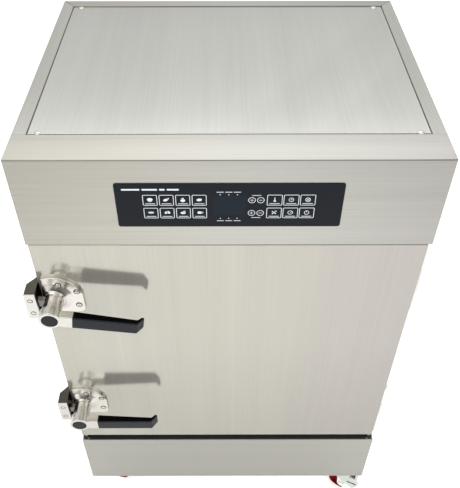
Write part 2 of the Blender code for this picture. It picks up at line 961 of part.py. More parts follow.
def steam_plate(parent):
    """A perforated plate over the tank that lets the steam up to the trays."""
    middle_y = (tank_front + tank_back) / 2
    half_x, half_y = opening_half - steam_plate_margin, tank_depth / 2 + steam_plate_overhang
    bottom = liner_floor + seam
    bm = bmesh.new()
    low = (-half_x, middle_y - half_y, bottom)
    high = (half_x, middle_y + half_y, bottom + steam_plate_lip + steam_plate_thickness)
    faces = box(bm, low, high)
    under = step(bm, facing(faces, (0, 0, -1)), -steam_plate_thickness, 0)
    step(bm, under, 0, -steam_plate_lip)
    obj = piece("steam_plate", bm, (STEEL, 1, 0.38), parent)
    slots = bmesh.new()
    plate_low = bottom + steam_plate_lip
    span = 2 * (tank_half - tank_floor_margin - steam_slot_side_edge)
    length = (span - (steam_slot_columns - 1) * steam_slot_bridge) / steam_slot_columns
    run = tank_depth - 2 * (tank_floor_margin + steam_slot_end_edge) - steam_slot_width
    pitch_x, pitch_y = length + steam_slot_bridge, run / (steam_slot_rows - 1)
    for column in range(steam_slot_columns):
        for row in range(steam_slot_rows):
            x = (column - (steam_slot_columns - 1) / 2) * pitch_x
            y = middle_y + (row - (steam_slot_rows - 1) / 2) * pitch_y
            half_slot, half_bar = length / 2, steam_slot_width / 2
            low = (x - half_slot, y - half_bar, plate_low - overrun)
            box(slots, low, (x + half_slot, y + half_bar, plate_low + steam_plate_thickness + overrun))
    cut(obj, slots)


def shelf_height(index):
    return liner_floor + first_shelf_rise + index * tray_pitch


def tray_rack(name, side, parent):
    """A pressed sheet whose folds make one shelf edge for each tray."""
    wall = 0
    stand = rack_standoff
    reach = stand + shelf_reach
    low = liner_floor + rack_foot
    high = shelf_height(tray_count - 1) + rack_foot
    path = [(wall, low), (stand, low)]
    for index in range(tray_count):
        z = shelf_height(index)
        path += [(stand, z - shelf_brace), (reach, z - shelf_lip), (reach, z), (stand, z)]
    path += [(stand, high), (wall, high)]
    outline = [(side * (liner_half - seam - u), z) for u, z in folded(path, rack_sheet)]
    bm = bmesh.new()
    start = tray_front - rack_margin_y
    prism(bm, outline, "Y", start, tray_front + tray_depth + rack_margin_y)
    piece(name, bm, (STEEL, 1, 0.36), parent)


def tray_mesh():
    """A stamped pan with round corners and tapered walls, about the middle of its rim."""
    half_x, half_y = tray_width / 2, tray_depth / 2
    inner = tray_rim + tray_wall
    loops = []
    for inset, z in (
        (inner + tray_taper, 2 * tray_wall - tray_height),
        (inner, tray_wall),
        (0, tray_wall),
        (0, 0),
        (tray_rim, 0),
        (tray_rim + tray_taper, tray_wall - tray_height),
    ):
        x, y = half_x - inset, half_y - inset
        loops.append([(u, v, z) for u, v in rounded(-x, x, -y, y, tray_corner - inset)])
    bm = bmesh.new()
    lofted(bm, loops)
    return applied(piece("tray", bm, (PALE_STEEL, 1, 0.3), None))


def trays(parent):
    shape = tray_mesh()
    for index in range(tray_count):
        place = (0, tray_front + tray_depth / 2, shelf_height(index) + seam)
        piece(f"tray_{index + 1}", own(shape), (PALE_STEEL, 1, 0.3), parent, place)


def services(parent):
    """Vent, water inlet, drain valve and cable gland at the back."""
    bm = bmesh.new()
    outside = body_depth + seam
    profile = [
        (exhaust_radius - exhaust_wall, 0),
        (exhaust_radius, 0),
        (exhaust_radius, outside - liner_back + liner_wall),
        (exhaust_flange_radius, outside - liner_back + liner_wall),
        (exhaust_flange_radius, outside - liner_back + liner_wall + exhaust_flange_thickness),
        (exhaust_radius, outside - liner_back + liner_wall + exhaust_flange_thickness),
        (exhaust_radius, outside - liner_back + liner_wall + exhaust_reach),
        (exhaust_radius - exhaust_wall, outside - liner_back + liner_wall + exhaust_reach),
    ]
    turned(bm, profile, small_sides, backward(0, liner_back - liner_wall, exhaust_z))
    piece("exhaust_vent", bm, (PALE_STEEL, 1, 0.3), parent)

    bm = bmesh.new()
    length = outside - tank_back + inlet_inner_reach
    profile = [
        (0, 0),
        (inlet_pipe_radius, 0),
        (inlet_pipe_radius, length),
        (inlet_flange_radius, length),
        (inlet_flange_radius, length + inlet_flange_thickness),
        (inlet_spigot_radius, length + inlet_flange_thickness),
        (inlet_spigot_radius, length + inlet_reach),
        (inlet_bore_radius, length + inlet_reach),
        (inlet_bore_radius, length + inlet_reach - inlet_bore_depth),
        (0, length + inlet_reach - inlet_bore_depth),
    ]
    turned(bm, profile, small_sides, backward(inlet_x, tank_back - inlet_inner_reach, inlet_z))
    valve = piece("inlet_valve", bm, (BRASS, 1, 0.35), parent)
    coil = bmesh.new()
    back = body_depth - skin - coil_setback
    box(
        coil,
        (inlet_x - coil_width / 2, back - coil_depth, inlet_z - coil_width / 2),
        (inlet_x + coil_width / 2, back, inlet_z + coil_height),
    )
    join(valve, coil)

    bm = bmesh.new()
    length = outside - tank_back + drain_inner_reach
    ball = length + (drain_reach - drain_ball_length) / 2
    profile = [
        (0, 0),
        (drain_pipe_radius, 0),
        (drain_pipe_radius, ball),
        (drain_ball_radius, ball + drain_ball_slope),
        (drain_ball_radius, ball + drain_ball_length - drain_ball_slope),
        (drain_pipe_radius + exhaust_wall, ball + drain_ball_length),
        (drain_pipe_radius + exhaust_wall, length + drain_reach - seam),
        (drain_bore_radius, length + drain_reach - seam),
        (drain_bore_radius, length + drain_reach - drain_bore_depth),
        (0, length + drain_reach - drain_bore_depth),
    ]
    turned(bm, profile, small_sides, backward(drain_x, tank_back - drain_inner_reach, drain_z))
    valve = piece("drain_valve", bm, (BRASS, 1, 0.35), parent)
    stem_y = outside + drain_reach / 2
    stem = bmesh.new()
    top = drain_ball_radius + drain_stem_height
    turned(stem, rod(drain_stem_radius, 0, top), screw_sides, upright(drain_x, stem_y, drain_z))
    join(valve, stem)
    axis = pivot("drain_lever_axis", (drain_x, stem_y, drain_z + top + seam), parent)
    lever = bmesh.new()
    half = drain_lever_width / 2
    outline = arc(drain_lever_length - half, 0, half, -90, 90) + [(0, half), (0, -half)]
    prism(lever, outline, "Z", lap, drain_lever_thickness)
    obj = piece("drain_lever", lever, (LEVER_RED, 0, 0.4), axis)
    hub = bmesh.new()
    turned(hub, rod(drain_hub_radius, 0, 2 * drain_lever_thickness), small_sides)
    join(obj, hub)

    bm = bmesh.new()
    inside = -skin - seam
    profile = [
        (gland_bore_radius, inside - gland_nut_length),
        (gland_flange_radius, inside - gland_nut_length),
        (gland_flange_radius, inside),
        (gland_neck_radius, inside),
        (gland_neck_radius, seam),
        (gland_flange_radius, seam),
        (gland_flange_radius, gland_flange_length),
        (gland_nose_radius, gland_flange_length),
        (gland_tip_radius, gland_flange_length + gland_nose_length),
        (gland_bore_radius, gland_flange_length + gland_nose_length),
    ]
    turned(bm, profile, small_sides, backward(gland_x, body_depth, body_top - gland_drop))
    piece("cable_gland", bm, (BLACK, 0, 0.5), parent)


def base_frame(parent):
    """A folded base pan with four posts and two rails that carry the chamber."""
    half_x = half_width - skin - base_inset
    front = bottom_return + base_inset
    back = body_depth - skin - base_inset
    bottom = body_bottom + skin + seam
    bm = bmesh.new()
    faces = box(bm, (-half_x, front, bottom), (half_x, back, bottom + base_fold))
    inside = step(bm, facing(faces, (0, 0, 1)), -base_sheet, 0)
    step(bm, inside, 0, base_sheet - base_fold)
    obj = piece("base_frame", bm, (PALE_STEEL, 1, 0.45), parent)
    rail_top = tank_top
    for side in (-1, 1):
        posts = bmesh.new()
        outer = half_x - base_sheet / 2
        for near in (True, False):
            y0 = frame_back + jamb_depth + overrun if near else back - base_sheet / 2
            way = 1 if near else -1
            path = [(outer - post_width, y0), (outer, y0), (outer, y0 + way * post_width)]
            if not near:
                path.reverse()
            outline = [(side * x, y) for x, y in folded(path, post_sheet)]
            prism(posts, outline, "Z", bottom + base_sheet / 2, rail_top - rail_depth / 2)
        join(obj, posts)
        rail = bmesh.new()
        inner = tank_half + tank_rim + rail_gap
        path = [(outer, rail_top - rail_depth), (outer, rail_top), (inner, rail_top)]
        outline = [(side * x, z) for x, z in folded(path, post_sheet)]
        prism(rail, outline, "Y", frame_back + jamb_depth + skin, back - skin)
        join(obj, rail)
    return obj


def door_panels(door):
    """The door's outer shell, its pressed inner panel and the gasket round it."""
    offset = Vector((-hinge_x, -hinge_back, 0))
    bm = bmesh.new()
    faces = box(bm, (door_left, 0, door_bottom), (door_right, door_fold_depth, door_top))
    lip = step(bm, facing(faces, (0, 1, 0)), -door_lip, 0)
    lip = step(bm, lip, 0, -skin)
    wide = step(bm, lip, door_lip - skin, 0)
    step(bm, wide, 0, 2 * skin - door_fold_depth)
    bmesh.ops.recalc_face_normals(bm, faces=bm.faces[:])
    piece("door_skin", bm, (STEEL, 1, 0.30), door, offset)

    plane = door_fold_depth + seam
    margin = door_inner_margin
    bm = bmesh.new()
    low = (door_left + margin, plane, door_bottom + margin)
    faces = box(bm, low, (door_right - margin, plane + skin, door_top - margin))
    front, back = facing(faces, (0, -1, 0)), facing(faces, (0, 1, 0))
    raised = step(bm, back, -door_inner_border, 0)
    step(bm, raised, -door_inner_draft, door_inner_raise)
    sunk = step(bm, front, -door_inner_border - skin, 0)
    step(bm, sunk, -door_inner_draft, -door_inner_raise)
    bmesh.ops.recalc_face_normals(bm, faces=bm.faces[:])
    piece("door_inner_panel", bm, (STEEL, 1, 0.38), door, offset)

    base = plane + skin + seam
    crest = frame_setback - seam
    bm = bmesh.new()
    inset = door_inner_margin + gasket_inset
    loops = []
    outer = (door_left + inset, door_right - inset, door_bottom + inset, door_top - inset)
    shoulder = (gasket_width - gasket_crest) / 2
    for shrink, y in (
        (0, base),
        (0, (base + crest) / 2),
        (shoulder, crest),
        (gasket_width - shoulder, crest),
        (gasket_width, (base + crest) / 2),
        (gasket_width, base),
    ):
        left, right, low, high = outer
        radius = gasket_corner - shrink
        points = rounded(left + shrink, right - shrink, low + shrink, high - shrink, radius)
        loops.append([(x, y, z) for x, z in points])
    lofted(bm, loops, closed=True)
    piece("door_gasket", bm, (SILICONE, 0, 0.6), door, offset)


def hinge_meshes():
    """The leaf on the cabinet's side with its pin, and the bored leaf on the door's edge."""
    plate = half_width + seam
    half = hinge_height / 2
    leaf_half = half - leaf_inset
    start = front_depth + leaf_start
    back = hinge_back + leaf_reach
    x, y = -hinge_x, -hinge_back
    bm = bmesh.new()
    outline = rounded(plate + x, plate + leaf_thickness + x, start + y, back + y, seam, 1)
    prism(bm, outline, "Z", -leaf_half, leaf_half)
    fixed = piece("leaf", bm, (CHROME, 1, 0.22), None)
    web = bmesh.new()
    outline = [
        (plate + lap + x, start + leaf_web + y),
        (plate + lap + x, 0),
        (0, -leaf_web),
        (0, leaf_web),
        (plate + leaf_thickness - lap + x, start + leaf_web + y),
    ]
    prism(web, outline, "Z", lap - half, -seam - lap)
    join(fixed, web)
    knuckle = bmesh.new()
    profile = [
        (0, -half),
        (knuckle_radius, -half),
        (knuckle_radius, -seam),
        (pin_radius, -seam),
        (pin_radius, half + pin_head_height),
        (0, half + pin_head_height),
    ]
    turned(knuckle, profile, small_sides)
    join(fixed, knuckle)

    edge = door_right + seam
    bm = bmesh.new()
    outline = rounded(edge + x, edge + leaf_thickness + x, door_leaf_start + y, door_leaf_end + y, seam, 1)
    prism(bm, outline, "Z", -leaf_half, leaf_half)
    moving = piece("leaf", bm, (CHROME, 1, 0.22), None)
    web = bmesh.new()
    outline = [
        (edge + lap + x, door_leaf_end - 2 * leaf_web + y),
        (edge + leaf_thickness - lap + x, door_leaf_end - 2 * leaf_web + y),
        (leaf_web, -leaf_web),
        (-leaf_web, 0),
        (edge + leaf_thickness + x, door_leaf_end - lap + y),
        (edge + lap + x, door_leaf_end - lap + y),
    ]
    prism(web, outline, "Z", seam + lap, half - lap)
    join(moving, web)
    knuckle = bmesh.new()
    turned(knuckle, rod(knuckle_radius, seam, half), small_sides)
    join(moving, knuckle)
    bore = bmesh.new()
    turned(bore, rod(pin_radius + pin_clearance, -overrun, half + overrun), small_sides)
    cut(moving, bore)
    return applied(fixed), applied(moving)


def hinges(parent, door):
    fixed, moving = hinge_meshes()
    for name, z in (("upper", hinge_upper_z), ("lower", hinge_lower_z)):
        place = (hinge_x, hinge_back, z)
        piece(f"hinge_leaf_fixed_{name}", own(fixed), (CHROME, 1, 0.22), parent, place)
        piece(f"hinge_leaf_door_{name}", own(moving), (CHROME, 1, 0.22), door, (0, 0, z))


def latch_housing_mesh():
    """A cast flange with a conical boss, bored for the spindle and slotted for its tongue."""
    left = -flange_left - overrun
    top = math.sqrt(flange_radius**2 - left**2)
    start = math.degrees(math.atan2(top, left))
    end = math.degrees(math.atan2(flange_shoulder, flange_right))
    middle = flange_right - flange_corner
    outline = [(left, -flange_foot)] + [(left, top)]
    outline += arc(0, 0, flange_radius, start, end)[1:]
    outline += arc(middle, -flange_foot + flange_corner, flange_corner, 0, -90, 2 * corner_steps)
    bm = bmesh.new()
    prism(bm, outline, "Y", -flange_thickness, -seam)
    obj = piece("housing", bm, (CHROME, 1, 0.25), None)
    boss = bmesh.new()
    slope = (cone_radius - ring_radius) / (ring_depth - flange_thickness)
    profile = [
        (0, flange_thickness / 2),
        (cone_radius + slope * flange_thickness / 2, flange_thickness / 2),
        (ring_radius, ring_depth),
        (ring_radius, ring_depth + ring_width),
        (neck_radius, ring_depth + ring_width),
        (neck_radius, neck_front - flange_edge),
        (neck_radius - flange_edge, neck_front),
        (0, neck_front),
    ]
    turned(boss, profile, round_sides, outward(0, 0, 0))
    join(obj, boss)
    side = bmesh.new()
    box(
        side,
        (-2 * flange_radius, -ring_depth - overrun, -2 * flange_radius),
        (-flange_left, overrun, 2 * flange_radius),
    )
    cut(obj, side)
    bore = bmesh.new()
    hub = spindle_hub_radius + spindle_clearance
    shaft = spindle_radius + spindle_clearance
    inner = neck_front - front_bearing
    profile = [
        (0, -overrun),
        (hub, -overrun),
        (hub, inner),
        (shaft, inner),
        (shaft, neck_front + overrun),
        (0, neck_front + overrun),
    ]
    turned(bore, profile, small_sides, outward(0, 0, 0))
    cut(obj, bore)
    spread = math.degrees(math.asin(tongue_half_width / hub)) + slot_spare_deg
    slot = bmesh.new()
    sweep = arc(0, 0, 2 * neck_radius, 180 - upper_droop_deg - spread, 270 + spread)
    prism(slot, [(0, 0)] + sweep, "Y", -tongue_front - slot_clearance, -tongue_back + slot_clearance)
    cut(obj, slot)
    return applied(obj)


def latch_shapes():
    """Meshes of one latch's spindle, lever and grip, about the spindle's axis."""
    back = neck_front - front_bearing - seam
    bm = bmesh.new()
    profile = [
        (0, overrun),
        (spindle_hub_radius, overrun),
        (spindle_hub_radius, back),
        (spindle_radius, back),
        (spindle_radius, spindle_front),
        (0, spindle_front),
    ]
    turned(bm, profile, small_sides, outward(0, 0, 0))
    spindle = piece("spindle", bm, (CHROME, 1, 0.3), None)
    tongue = bmesh.new()
    tip = -tongue_reach + tongue_half_width
    outline = [(0, -tongue_half_width)]
    outline += arc(tip, 0, tongue_half_width, 270, 90, 2 * corner_steps)
    outline += [(0, tongue_half_width)]
    prism(tongue, outline, "Y", -tongue_front, -tongue_back)
    join(spindle, tongue)

    bm = bmesh.new()
    profile = [
        (0, neck_front + seam),
        (head_radius, neck_front + seam),
        (head_radius, head_front - flange_edge),
        (head_radius - flange_edge, head_front),
        (0, head_front),
    ]
    turned(bm, profile, round_sides, outward(0, 0, 0))
    lever = piece("lever", bm, (CHROME, 1, 0.2), None)
    arm = bmesh.new()
    outline = [
        (arm_root, -arm_root_half_height),
        (arm_waist, -arm_half_height),
        (arm_length, -arm_half_height),
        (arm_length, arm_half_height),
        (arm_waist, arm_half_height),
        (arm_root, arm_root_half_height),
    ]
    prism(arm, outline, "Y", -head_front + lap, -arm_back)
    join(lever, arm)
    tang = bmesh.new()
    depth = (head_front + arm_back) / 2
    box(
        tang,
        (arm_length - overrun, -depth - tang_thickness / 2, -tang_half_height),
        (arm_length + tang_length, -depth + tang_thickness / 2, tang_half_height),
    )
    join(lever, tang)
    recess = bmesh.new()
    radius = cap_radius + spindle_clearance
    profile = rod(radius, head_front - cap_seat, head_front + overrun)
    turned(recess, profile, small_sides, outward(0, 0, 0))
    radius = spindle_radius + spindle_clearance
    profile = rod(radius, neck_front - overrun, spindle_front + seam)
    turned(recess, profile, small_sides, outward(0, 0, 0))
    cut(lever, recess)

    start = arm_length + seam
    end = arm_length + grip_length
    outline = [
        (start, -arm_back),
        (start, -head_front),
        (end - grip_bend, -head_front),
        (end, -head_front + grip_bend_depth),
        (end - grip_hook_length, -arm_back - grip_taper + grip_hook_depth),
        (end - grip_hook_start, -arm_back - grip_taper),
    ]
    bm = bmesh.new()
    faces = prism(bm, outline, "Z", -arm_half_height, arm_half_height)
    side_edges = [
        edge
        for face in faces
        if abs(face.normal.z) > bevel_roundness
        for edge in face.edges
        if min(vert.co.x for vert in edge.verts) > start + seam
    ]
    long_edges = [
        edge
        for face in faces
        if abs(face.normal.z) > bevel_roundness
        for edge in face.edges
        if abs(edge.verts[0].co.x - edge.verts[1].co.x) > grip_length / 2
    ]
    soften(bm, list(set(side_edges + long_edges)), grip_edge, 2)
    grip = piece("grip", bm, (BLACK, 0, 0.35), None)
    pocket = bmesh.new()
    box(
        pocket,
        (start - overrun, -depth - tang_thickness / 2 - seam, -tang_half_height - seam),
        (arm_length + tang_length + seam, -depth + tang_thickness / 2 + seam, tang_half_height + seam),
    )
    cut(grip, pocket)

    return {
        "spindle": (applied(spindle), (CHROME, 1, 0.3)),
        "lever": (applied(lever), (CHROME, 1, 0.2)),
        "grip": (applied(grip), (BLACK, 0, 0.35)),
    }


def latches(door):
    housing = latch_housing_mesh()
    shapes = latch_shapes()
    for name, z, droop in (("upper", latch_upper_z, upper_droop_deg), ("lower", latch_lower_z, 0)):
        place = Vector((latch_x - hinge_x, -hinge_back, z))
        piece(f"latch_housing_{name}", own(housing), (CHROME, 1, 0.25), door, place)
        axis = pivot(f"latch_axis_{name}", place, door, (0, math.radians(droop), 0))
        for part, (mesh, finish) in shapes.items():
            piece(f"{part}_{name}", own(mesh), finish, axis)


def keeper_meshes():
    """A folded bracket with a gusset on top, and the thick plate that the tongue pulls against."""
    wall = -half_width - seam
    out = wall - keeper_arm_out
    strike_back = keeper_front - strike_thickness
    front = -strike_back + seam + keeper_sheet
    right = door_left - strike_door_gap
    low, high = -keeper_half_height, keeper_half_height
    bm = bmesh.new()
    path = [
        (right, front),
        (out, front),
        (out, -keeper_bend_front),
        (wall, keeper_bend_back),
        (wall, front_depth + keeper_plate_reach),
    ]
    prism(bm, folded(path, keeper_sheet), "Z", low, high)
    bracket = piece("bracket", bm, (DARK_STEEL, 1, 0.35), None)
    gusset = bmesh.new()
    sheet = keeper_sheet / 2
    outline = [
        (right - lap, front - sheet),
        (out - sheet, front - sheet),
        (out - sheet, -keeper_bend_front),
        (wall - sheet, keeper_bend_back),
        (right - lap, keeper_bend_back),
    ]
    prism(gusset, outline, "Z", high - keeper_gusset, high - lap)
    join(bracket, gusset)
    strike = bmesh.new()
    left = out - keeper_sheet - strike_overhang
    low = (left, -keeper_front, -strike_half_height)
    box(strike, low, (right, -strike_back, strike_half_height))
    return applied(bracket), applied(piece("strike", strike, (PALE_STEEL, 1, 0.3), None))


def keepers(parent):
    bracket, strike = keeper_meshes()
    for name, z in (("upper", latch_upper_z), ("lower", latch_lower_z)):
        piece(f"keeper_bracket_{name}", own(bracket), (DARK_STEEL, 1, 0.35), parent, (0, 0, z))
        piece(f"strike_plate_{name}", own(strike), (PALE_STEEL, 1, 0.3), parent, (0, 0, z))


def caster_places():
    x = half_width - caster_side_inset
    front, back = caster_front_inset, body_depth - caster_back_inset
    return {"fl": (-x, front), "fr": (x, front), "rl": (-x, back), "rr": (x, back)}


def caster_plate_mesh():
    """A top plate with the swivel race and the king pin."""
    top = body_bottom + skin
    half_x, half_y = plate_width / 2, plate_depth / 2
    bm = bmesh.new()
    prism(bm, rounded(-half_x, half_x, -half_y, half_y, plate_corner), "Z", top - plate_thickness, top)
    obj = piece("plate", bm, (ZINC, 1, 0.3), None)
    race = bmesh.new()
    pin_low = crown_top_z - crown_thickness - seam
    profile = [
        (0, pin_low - king_nut_height),
        (king_nut_radius, pin_low - king_nut_height),
        (king_nut_radius, pin_low),
        (king_pin_radius, pin_low),
        (king_pin_radius, crown_top_z + seam),
        (race_foot_radius, crown_top_z + seam),
        (race_radius, top - plate_thickness / 2),
        (0, top - plate_thickness / 2),
    ]
    turned(race, profile, small_sides)
    join(obj, race)
    return applied(obj)


def fork_mesh():
    """A pressed fork: a crown disc, two tapered legs and a riveted axle, about the swivel axis."""
    crown_low = crown_top_z - crown_thickness
    axle_z = wheel_radius
    bm = bmesh.new()
    profile = [
        (king_pin_radius + axle_clearance, crown_low),
        (crown_radius, crown_low),
        (crown_radius, crown_top_z),
        (king_pin_radius + axle_clearance, crown_top_z),
    ]
    turned(bm, profile, small_sides)
    obj = piece("fork", bm, (ZINC, 1, 0.28), None)
    legs = bmesh.new()
    brow = crown_top_z - lap
    outline = [(-fork_back_reach, brow), (-fork_back_reach, crown_low - fork_cheek)]
    outline += arc(-trail, axle_z, fork_boss_radius, 180, 340, 2 * corner_steps)
    outline += [(-fork_neck_reach, crown_low - fork_neck_drop)]
    outline += [(fork_front_reach, crown_low - fork_cheek), (fork_front_reach, brow)]
    for side in (-1, 1):
        inner, outer = side * fork_gap / 2, side * (fork_gap / 2 + fork_sheet)
        prism(legs, outline, "Y", min(inner, outer), max(inner, outer))
    join(obj, legs)
    axle = bmesh.new()
    end = fork_gap / 2 + fork_sheet
    profile = [
        (0, -end - axle_head_height),
        (axle_head_radius, -end - axle_head_height),
        (axle_head_radius, -end + fork_sheet / 2),
        (axle_radius, -end + fork_sheet / 2),
        (axle_radius, end - fork_sheet / 2),
        (axle_head_radius, end - fork_sheet / 2),
        (axle_head_radius, end + axle_head_height),
        (0, end + axle_head_height),
    ]
    turned(axle, profile, screw_sides, backward(-trail, 0, axle_z))
    join(obj, axle)
    return applied(obj)


def wheel_mesh():
    """A round-shouldered tread on a recessed core with a bored hub, about its own axle."""
    flat = math.cos(math.pi / round_sides)
    tread, half = wheel_radius / flat, wheel_width / 2
    bm = bmesh.new()
    outer = [
        (tread, half - wheel_shoulder),
        (tread - wheel_shoulder, half),
        (wheel_rim_inner_radius, half),
        (hub_radius, half - wheel_recess),
        (hub_radius, hub_width / 2),
        (axle_radius + axle_clearance, hub_width / 2),
    ]
    profile = [(r, -h) for r, h in outer[::-1]] + outer
    turned(bm, profile, round_sides, backward(0, 0, 0))
    obj = piece("wheel", bm, (WHEEL_RED, 0, 0.3), None)
    return applied(obj)


def brake_mesh():
    """A foot pedal on a cross pin in the fork; its plate drops towards the tread."""
    bm = bmesh.new()
    half = fork_gap / 2 - seam
    turned(bm, rod(brake_pin_radius, -half, half), screw_sides, backward(0, 0, 0))
    obj = piece("brake", bm, (ZINC, 1, 0.3), None)
    plate = bmesh.new()
    path = [(0, brake_plate / 2), (-brake_bend, brake_plate / 2 - brake_bend_drop)]
    path.append((-brake_tip, brake_plate / 2 - brake_tip_drop))
    prism(plate, folded(path, brake_plate), "Y", -brake_width / 2, brake_width / 2)
    join(obj, plate)
    return applied(obj)


def casters(parent):
    plate, fork, wheel, brake = caster_plate_mesh(), fork_mesh(), wheel_mesh(), brake_mesh()
    pivot_z = crown_top_z - crown_thickness - brake_pivot_drop
    side, front = half_width - caster_side_inset, caster_front_inset
    back = body_depth - caster_back_inset
    places = {"fl": (-side, front), "fr": (side, front), "rl": (-side, back), "rr": (side, back)}
    for name, (x, y) in places.items():
        piece(f"caster_plate_{name}", own(plate), (ZINC, 1, 0.3), parent, (x, y, 0))
        turn = math.radians(caster_trails_deg[name] - 180)
        swivel = pivot(f"caster_swivel_{name}", (x, y, 0), parent, (0, 0, turn))
        piece(f"caster_fork_{name}", own(fork), (ZINC, 1, 0.28), swivel)
        axle = pivot(f"caster_axle_{name}", (-trail, 0, wheel_radius), swivel)
        piece(f"caster_wheel_{name}", own(wheel), (WHEEL_RED, 0, 0.3), axle)
        if name.startswith("f"):
            hinge = pivot(f"brake_axis_{name}", (-brake_pivot_reach, 0, pivot_z), swivel)
            piece(f"caster_brake_{name}", own(brake), (ZINC, 1, 0.3), hinge)


def main():
    clear_scene()
    cabinet = pivot("cabinet", (0, front_plane_y, 0), None)
    side_panel("side_panel_left", -1, cabinet)
    side_panel("side_panel_right", 1, cabinet)
    back_panel(cabinet)
    control_fascia(cabinet)
    top_cover(cabinet)
    control_panel(cabinet)
    lower_panel(cabinet)
    base_frame(cabinet)
    door_frame(cabinet)
    chamber(cabinet)
    water_tank(cabinet)
    heating_elements(cabinet)
    steam_plate(cabinet)
    tray_rack("tray_rack_left", -1, cabinet)
    tray_rack("tray_rack_right", 1, cabinet)
    trays(cabinet)
    services(cabinet)
    door = pivot("door_hinge_axis", (hinge_x, hinge_back, 0), cabinet)
    door_panels(door)
    hinges(cabinet, door)
    latches(door)
    keepers(cabinet)
    casters(cabinet)


if __name__ == "__main__":
    main()
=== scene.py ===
"""Dresses a commercial food steamer cabinet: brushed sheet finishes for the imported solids, finer
latches, casters, fittings and sheet edges, and the plain marks on its touch panel."""

import math

import bmesh
import bpy
from bpy.props import FloatProperty, FloatVectorProperty, PointerProperty
from mathutils import Matrix, Vector


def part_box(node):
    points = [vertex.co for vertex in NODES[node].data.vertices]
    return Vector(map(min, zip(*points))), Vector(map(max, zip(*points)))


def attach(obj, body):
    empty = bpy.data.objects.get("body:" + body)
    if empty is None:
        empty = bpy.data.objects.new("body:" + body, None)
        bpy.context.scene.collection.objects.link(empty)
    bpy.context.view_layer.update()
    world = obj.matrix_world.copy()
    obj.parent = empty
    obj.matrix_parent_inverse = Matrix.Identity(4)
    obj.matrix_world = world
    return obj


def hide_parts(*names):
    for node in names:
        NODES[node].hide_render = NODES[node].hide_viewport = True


bl_info = {
    "name": "Steamer cabinet finish",
    "version": (1, 0, 0),
    "blender": (4, 5, 0),
    "location": "3D view, sidebar, Steamer",
    "description": "Finishes and fittings for a tray steamer cabinet",
    "category": "Object",
}

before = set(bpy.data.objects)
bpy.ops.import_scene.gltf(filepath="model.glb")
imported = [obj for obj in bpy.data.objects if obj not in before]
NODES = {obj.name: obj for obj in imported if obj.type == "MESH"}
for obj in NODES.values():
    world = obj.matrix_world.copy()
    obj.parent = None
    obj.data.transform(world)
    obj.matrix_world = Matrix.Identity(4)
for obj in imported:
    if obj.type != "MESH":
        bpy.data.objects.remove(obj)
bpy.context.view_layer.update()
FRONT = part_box("control_fascia")[0].y
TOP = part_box("control_fascia")[1].z
HALF_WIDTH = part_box("control_fascia")[1].x
MM = 0.001
# Turns a shape drawn in the XY plane up, so that its height points to the front
UPRIGHT = Matrix.Rotation(math.pi / 2, 4, "X")

# Places and thicknesses on the cabinet, in metres; the gap is how far a fitting is let in
GAP = 0.0003
HINGE_LEAF = 0.003
KEEPER_PLATE = 0.0025
KEEPER_HALF = 0.0362
LATCH_X = -0.320
# Each latch's height, and how far its lever hangs in degrees
LATCHES = {"upper": (0.813, 8.5), "lower": (0.463, 0.0)}
CASTER_SIDE = 0.286
# Each caster's pivot in X and Y, and which way its wheel trails in degrees
CASTERS = {
    "fl": (-CASTER_SIDE, -0.2335, 78.0),
    "fr": (CASTER_SIDE, -0.2335, -24.0),
    "rl": (-CASTER_SIDE, 0.248, 62.0),
    "rr": (CASTER_SIDE, 0.248, 155.0),
}
CASTER_TRAIL = 0.030
AXLE_Z = 0.0375


# Shader sockets that work in Python sums
class Signal:
    """The output of a shader node, usable in sums with numbers and other signals."""

    def __init__(self, finish, socket):
        self.finish = finish
        self.socket = socket

    def math(self, operation, one, two=0.0):
        return self.finish.node("Math", {"operation": operation}, {0: one, 1: two})

    def __add__(self, other):
        return self.math("ADD", self, other)

    def __sub__(self, other):
        return self.math("SUBTRACT", self, other)

    def __rsub__(self, other):
        return self.math("SUBTRACT", other, self)

    def __mul__(self, other):
        return self.math("MULTIPLY", self, other)

    def __truediv__(self, other):
        return self.math("DIVIDE", self, other)

    def __rtruediv__(self, other):
        return self.math("DIVIDE", other, self)

    def under(self, level):
        return self.math("LESS_THAN", self, level)

    def size(self):
        return self.math("ABSOLUTE", self)

    __radd__ = __add__
    __rmul__ = __mul__


